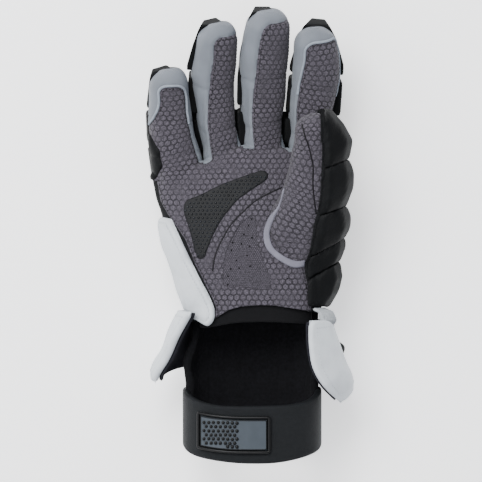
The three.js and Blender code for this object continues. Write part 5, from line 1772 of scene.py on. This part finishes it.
def wing_grid(name, depth, rows=46, columns=56, inset_edge=0.0, tuck=0.0):
    """Points over a wing of the cuff, at a depth outside the wrist loop."""
    table, side, top, rim_end, back_end = WINGS[name]
    share = inset_edge + (1 - 2 * inset_edge) * eased(rows)[:, None]
    around = inset_edge + (1 - 2 * inset_edge) * eased(columns)[None, :]
    rim = smooth_column(table, 1, share.ravel())[:, None]
    flare = WING_FLARE * smooth_column(table, 2, share.ravel())[:, None]
    angle = np.radians(WING_BACK_ANGLE + (rim - WING_BACK_ANGLE) * around)
    end = CUFF_LENGTH * (back_end + (rim_end - back_end) * around ** 2)
    y = top * CUFF_LENGTH * (1 - share) + end * share
    widen = flare * np.sin(angle) ** 2 * step_between(around, 0, 0.6)
    widen = widen - tuck * (1 - step_between(around, 0.3, 0.97)) * step_between(share, 0, 0.3)
    grid = loop_points(side * angle, y, -1 - depth, widen)
    if side > 0:
        grid[..., 2] -= WING_DROOP * step_between(share, 0.66, 1) ** 2
    return grid[:, ::side]


def wrist_ring(angle, grow, y):
    """Points round the hand's wrist edge."""
    _, centre, width, _, _ = HAND_SECTIONS[0]
    across, up = oval(HAND_WIDTH * width / 2 + grow, HAND_DEPTH / 2 + grow, angle)
    return stacked(HAND_WIDTH * centre + across, y, PAD_FOAM + HAND_DEPTH / 2 + up)


class GLOVE_OT_cuff(bpy.types.Operator):
    """Makes the wings, the lining, the collar and the gathered gore of the cuff"""

    bl_idname = "glove.cuff"
    bl_label = "Cuff"

    def execute(self, context):
        looks = materials()
        for name in WINGS:
            depth = WING_LINING + SEAM_GAP + WING_SHELL / 2
            grid = wing_grid(name, depth)
            points, faces = leaf(grid, WING_SHELL, WING_SHELL * 0.45)
            points = points + folds(points, 24, 0.35, 17)[:, None] * (0.3, 0, 1)
            cushion(f"cuff_wing_{name}_leather", points, faces, looks["white"],
                    "white_leather", f"cuff_wing_{name}_shell", 0.7)
            MADE[f"wing_{name}"] = grid
            inner = wing_grid(name, WING_LINING / 2 - 0.2, inset_edge=0.02,
                              tuck=LINING_TUCK[name])
            padded_leaf(inner, WING_LINING, WING_LINING * 0.45, f"cuff_wing_{name}_cloth",
                        looks["facing"], "liner", f"cuff_wing_{name}_lining", 0.4)
        self.liner(looks["liner"])
        self.collar(looks["neoprene"])
        self.gore(looks["gathered"])
        return {"FINISHED"}

    def liner(self, material):
        """The quilted lining round the back of the wrist."""
        rows, columns = 72, 124
        share = eased(rows)[:, None]
        angle = np.radians(LINER_WRAP + (360 - 2 * LINER_WRAP) * eased(columns))[None, :]
        y = LINER_TUCK - (LINER_TUCK + LINER_LENGTH) * share
        ease = step_between(share, 0.1, 0.5)[..., None]
        middle = LINER_FOAM / 2 + SEAM_GAP
        high = wrist_ring(angle, -CLOTH - middle, y)
        bulge = 5 * np.exp(-((y + 42) / 15) ** 2) + 3 * np.exp(-((y + 66) / 9) ** 2)
        low = loop_points(angle, y, STRAP_FOAM + middle, bulge)
        grid = high * (1 - ease) + low * ease
        quilting = np.abs(np.sin(angle * 9)) ** 0.5 * np.abs(np.sin(y * math.pi / 23)) ** 0.35
        padded_leaf(grid, LINER_FOAM * (0.68 + 0.36 * quilting), LINER_FOAM * 0.45,
                    "wrist_lining", material, "liner", "wrist_liner", 0.5)

    def collar(self, material):
        """The dark band under the palm's edge."""
        rows, columns = 26, 90
        angle = np.radians(np.linspace(-COLLAR_REACH, COLLAR_REACH, columns))[None, :]
        share = eased(rows)[:, None]
        x = wrist_ring(angle, -CLOTH, 0.0)[0, :, 0]
        edge = line_y(WRIST_EDGE, x)[None, :]
        top = edge + 4
        bottom = -0.7 * COLLAR_LENGTH + 0.35 * edge
        y = top + (bottom - top) * share
        grid = wrist_ring(angle, -CLOTH - SEAM_GAP - COLLAR_CLOTH / 2, y)
        padded_leaf(grid, COLLAR_CLOTH, COLLAR_CLOTH * 0.48, "palm_collar_band", material,
                    "liner", "palm_collar", 0.3)
        line = grid[rows // 3] + np.array([0, 0, COLLAR_CLOTH / 2])
        MADE["collar_line"] = [(line, upward(columns))]

    def gore(self, material):
        """The gathered white cloth between the thumb's pads and the cuff, greyed with painted shade
        among its gathers.
        """
        rows, columns = 40, 70
        table = GORE_RIBS
        share = eased(rows)
        y = HAND_LENGTH * (table[0][0] + (table[-1][0] - table[0][0]) * share)
        along, fullness = np.array(table).T
        puff = GORE_PUFF * np.interp(-y / HAND_LENGTH, -along, fullness)
        angle = np.radians(np.linspace(GORE_FROM, GORE_TO, columns))[None, :]
        gathers = GORE_GATHER * np.sin(angle * 95) * step_between(share, 0.05, 0.5)[:, None]
        grid = wrist_ring(angle, SEAM_GAP + 1 + puff[:, None] + gathers, y[:, None])
        padded_leaf(grid, CLOTH, CLOTH * 0.48, "wrist_gore_cloth", material, "white_leather",
                    "wrist_gore", 0.3)


def strap_top(angle):
    """Y of the strap's upper edge."""
    return -STRAP_DROP + STRAP_TILT * (1 - np.cos(angle))


def strap_grid(half_length, half_height, height, rows=22, columns=70):
    """Points over the front of the strap, round the patch's middle."""
    centre = PATCH_CENTRE - LOOP_X
    x = centre + half_length * (2 * eased(columns) - 1)
    share = x / (STRAP_SPAN / 2 + SEAM_GAP)
    angle = np.arcsin(np.sign(share) * np.abs(share) ** (OVAL_POWER / 2))[None, :]
    y = strap_top(angle) - STRAP_WIDTH / 2 + half_height * (1 - 2 * eased(rows)[:, None])
    return loop_points(angle, y, -height)


class GLOVE_OT_wrist_strap(bpy.types.Operator):
    """Makes the wrist strap with its rubber plate, rim and studs"""

    bl_idname = "glove.wrist_strap"
    bl_label = "Wrist strap"

    def execute(self, context):
        looks = materials()
        angle = np.radians(np.linspace(-STRAP_WRAP, STRAP_WRAP, 170))[None, :]
        share = eased(34)[:, None]
        sag = 0.7 * np.sin(angle * 5 + 1) * (0.5 - share)
        y = strap_top(angle) - STRAP_WIDTH * share + sag
        grid = loop_points(angle, y, STRAP_FOAM / 2)
        MADE["strap_grid"] = grid
        padded_leaf(grid, STRAP_FOAM, STRAP_FOAM * 0.4, "wrist_strap_webbing", looks["strap"],
                    "strap", "wrist_strap", 0.6)
        half_length, half_height = PATCH_LENGTH / 2, PATCH_HEIGHT / 2
        plate = strap_grid(half_length - PLATE_INSET, half_height - PLATE_INSET,
                           SEAM_GAP + PATCH_PLATE / 2)
        points, faces = leaf(plate, PATCH_PLATE, 0.6)
        finished("strap_plate", points, faces, looks["plate"], "strap_patch")
        lines = [self.rectangle(half_length - RIM_INSET, half_height - RIM_INSET, RIM_HEIGHT)]
        piped("strap_plate_rim", lines, RIM_RADIUS, looks["rim"])
        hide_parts("strap_patch_frame")
        lines = [self.rectangle(half_length - BEAD_INSET, half_height - BEAD_INSET,
                                PATCH_PLATE + 0.2)]
        piped("strap_plate_bead", lines, BEAD_RADIUS, looks["rim"])
        self.studs(looks["rim"])
        return {"FINISHED"}

    def rectangle(self, half_length, half_height, height):
        """Closed line round the patch, at a height over the strap, with round corners."""
        grid = strap_grid(half_length, half_height, height, 30, 60)
        ring = np.vstack([grid[0, 1:-1], grid[1:-1, -1], grid[-1, -2:0:-1], grid[-2:0:-1, 0]])
        for _ in range(2):
            ring = (np.roll(ring, 1, axis=0) + 2 * ring + np.roll(ring, -1, axis=0)) / 4
        ring = np.vstack([ring, ring[:1]])
        return ring, upward(len(ring))

    def studs(self, material):
        """A generic field of small hexagon studs on the plate."""
        grid = strap_grid(PATCH_LENGTH / 2 - STUD_MARGIN[0], PATCH_HEIGHT / 2 - STUD_MARGIN[1],
                          SEAM_GAP + PATCH_PLATE + 0.1, 60, 120)
        spots = []
        flat = grid.reshape(-1, 3)
        low, high = flat.min(0), flat.max(0)
        end = low[0] + (high[0] - low[0]) * STUD_FIELD
        for row in range(int((high[1] - low[1]) / (STUD_PITCH * ROW_STEP)) + 1):
            y = high[1] - STUD_START - row * STUD_PITCH * ROW_STEP
            for x in np.arange(low[0] + (row % 2) * STUD_PITCH / 2, end, STUD_PITCH):
                gap = np.hypot(flat[:, 0] - x, flat[:, 1] - y)
                if gap.min() < STUD_REACH:
                    spots.append(flat[gap.argmin()])
        dotted("plate_studs", np.array(spots), upward(len(spots)), STUD_RADIUS, STUD_HEIGHT,
               material, 6, 0)


def on_surface(tree, spots):
    """Points and normals under places on the page."""
    hits = [below(tree, x, y) for x, y in spots]
    places, ups = zip(*(hit for hit in hits if hit[0] is not None))
    return np.array(places), np.array(ups)


def unbroken(line, jump=4.0):
    """Parts of a line on a surface between the places where it jumps to another height."""
    points, ups = line
    breaks = np.flatnonzero(np.abs(np.diff(points[:, 2])) > jump) + 1
    parts = zip(np.split(points, breaks), np.split(ups, breaks))
    return [(part, up) for part, up in parts if len(part) > 3]


class GLOVE_OT_stitching(bpy.types.Operator):
    """Runs the seams, hems, stitches and punched holes over the finished pieces"""

    bl_idname = "glove.stitching"
    bl_label = "Stitching"

    def execute(self, context):
        looks = materials()
        palm = MADE["palm"]
        seam = [evened(line) for line in palm.contours("palm", 1.7)]
        stitched("palm_seam_stitches", seam, looks["dark_thread"])
        both = joined_tree()
        arc = on_surface(both, rounded_curve(in_pixels(ARC_SEAM)))
        crease = on_surface(both, rounded_curve(in_pixels(THUMB_CREASE)))
        piped("palm_fold_lines", unbroken(arc) + unbroken(crease), 0.6, looks["dark_thread"],
              -0.1)
        self.fingertips(looks["hem"])
        self.holes(both, looks["hole"])
        heel = MADE["heel"].moved(np.full(len(MADE["heel"].points), HEEL_FOAM - 0.5))
        lines = [evened(line) for line in heel.contours("heel", 3.2)]
        stitched("heel_stitches", lines, looks["pale_thread"], 0.35)
        stitched("collar_stitches", MADE["collar_line"], looks["grey_thread"], 0.1,
                 3.4 * MM)
        self.wings(looks)
        self.strap(looks)
        self.lace(looks["rim"])
        return {"FINISHED"}

    def fingertips(self, material):
        """Rolled hem of the silver cloth at the tips of the outer two fingers."""
        lines = []
        for limb in (LIMBS[0], LIMBS[-1]):
            skin = MADE[f"{limb.name}_side"]
            upper = skin.clip(skin["share"] - 0.62)
            lines += [evened(line, 6) for line in upper.contours("palm", -0.7)]
        piped("fingertip_hems", lines, 1.0, material, 0.2)

    def holes(self, tree, material):
        # Near-black discs sunk into the vent panel stand in for the holes; their colour is painted
        # shade inside each hole.
        points, ups = on_surface(tree, in_pixels(VENT_HOLES))
        radius = bpy.context.scene.glove_sizes.hole_radius / MM
        dotted("punched_holes", points - ups * 0.1, ups, radius, 0.25, material,
               10)

    def wings(self, looks):
        """Thread along the rims of the cuff's wings."""
        lines = []
        for name, (_, side, *_) in WINGS.items():
            grid = MADE[f"wing_{name}"]
            normal = grid_normals(grid)
            for row in (9, -10):
                lines.append((grid[row, 9:-9], normal[row, 9:-9]))
            column = -10 if side > 0 else 9
            lines.append((grid[9:-9, column], normal[9:-9, column]))
        raised = [(line + up * WING_SHELL / 2, up) for line, up in lines]
        stitched("wing_stitches", raised, looks["pale_thread"], 0.05)

    def strap(self, looks):
        """Thread along both edges of the wrist strap."""
        grid = MADE["strap_grid"]
        normal = grid_normals(grid)
        lines = [(grid[row] + normal[row] * STRAP_FOAM / 2, normal[row]) for row in (9, -10)]
        stitched("strap_stitches", lines, looks["grey_thread"], 0.05)

    def lace(self, material):
        """The lace end that shows beside the thumb's wing."""
        end = in_pixels(((338, 343), (344, 348), (343, 355)))
        height = (34, 30, 24)
        line = rounded_curve(np.column_stack([end, height]), 0.8)
        piped("wing_lace_end", [(line, upward(len(line)))], LACE_RADIUS, material)


class GLOVE_OT_stage(bpy.types.Operator):
    """Sets the floor, the lights and the camera"""

    bl_idname = "glove.stage"
    bl_label = "Stage"

    def execute(self, context):
        scene = context.scene
        floor = raw_object("floor", [(-3, -3, -0.0005), (3, -3, -0.0005), (3, 3, -0.0005),
                                     (-3, 3, -0.0005)], [(0, 1, 2, 3)])
        material, tree, shader = new_material("Matt white paper", 0.9)
        shader.inputs["Base Color"].default_value = linear("#f8f8f8")
        shader.inputs["Emission Color"].default_value = (1, 1, 1, 1)
        shader.inputs["Emission Strength"].default_value = 0.8
        floor.data.materials.append(material)
        self.lamp("key", (-0.45, 0.95, 1.5), 0.9, 44)
        self.lamp("fill", (-0.9, 0.1, 1.2), 1.4, 12)
        self.lamp("front", (-0.6, -0.9, 1.0), 1.2, 4)
        world = bpy.data.worlds.new("Studio")
        world.use_nodes = True
        world.node_tree.nodes["Background"].inputs[0].default_value = (0.92, 0.94, 1, 1)
        world.node_tree.nodes["Background"].inputs[1].default_value = 0.95
        scene.world = world
        self.camera(scene)
        return {"FINISHED"}

    def lamp(self, name, place, size, power):
        data = bpy.data.lights.new(name, "AREA")
        data.size = size
        data.energy = power
        light = bpy.data.objects.new(name, data)
        light.location = place
        light.rotation_euler = (-Vector(place)).to_track_quat("-Z", "Y").to_euler()
        bpy.context.scene.collection.objects.link(light)

    def camera(self, scene):
        """Long lens straight over the middle of the photograph."""
        data = bpy.data.cameras.new("camera")
        data.sensor_width = 36
        distance = 2.6
        height = 0.055
        width = PHOTO_SIZE * PIXEL * MM
        data.lens = data.sensor_width * distance / width
        camera = bpy.data.objects.new("camera", data)
        middle = placed(np.append(in_pixels([(PHOTO_SIZE / 2, PHOTO_SIZE / 2)])[0], 0))
        camera.location = (middle[0], middle[1], height + distance)
        scene.collection.objects.link(camera)
        scene.camera = camera


class GLOVE_PT_sidebar(bpy.types.Panel):
    """Lists the glove's operators and settings"""

    bl_idname = "GLOVE_PT_sidebar"
    bl_label = "Lacrosse Glove"
    bl_space_type = "VIEW_3D"
    bl_region_type = "UI"
    bl_category = "Glove"

    def draw(self, context):
        for operator in OPERATORS:
            self.layout.operator(operator.bl_idname)
        for settings in (context.scene.glove_sizes, context.scene.glove_colours):
            for name in settings.__annotations__:
                self.layout.prop(settings, name)


OPERATORS = (
    GLOVE_OT_hand_cloth, GLOVE_OT_thumb_cloth, GLOVE_OT_palm_patches, GLOVE_OT_finger_rolls,
    GLOVE_OT_foam_pads, GLOVE_OT_cuff, GLOVE_OT_wrist_strap, GLOVE_OT_stitching, GLOVE_OT_stage,
)
CLASSES = (GloveSizes, GloveColours) + OPERATORS + (GLOVE_PT_sidebar,)


def register():
    for item in CLASSES:
        bpy.utils.register_class(item)
    bpy.types.Scene.glove_sizes = bpy.props.PointerProperty(type=GloveSizes)
    bpy.types.Scene.glove_colours = bpy.props.PointerProperty(type=GloveColours)


def unregister():
    del bpy.types.Scene.glove_colours
    del bpy.types.Scene.glove_sizes
    for item in reversed(CLASSES):
        bpy.utils.unregister_class(item)


def main():
    register()
    for operator in OPERATORS:
        name = operator.bl_idname.split(".")[1]
        getattr(bpy.ops.glove, name)()


if __name__ == "__main__":
    main()
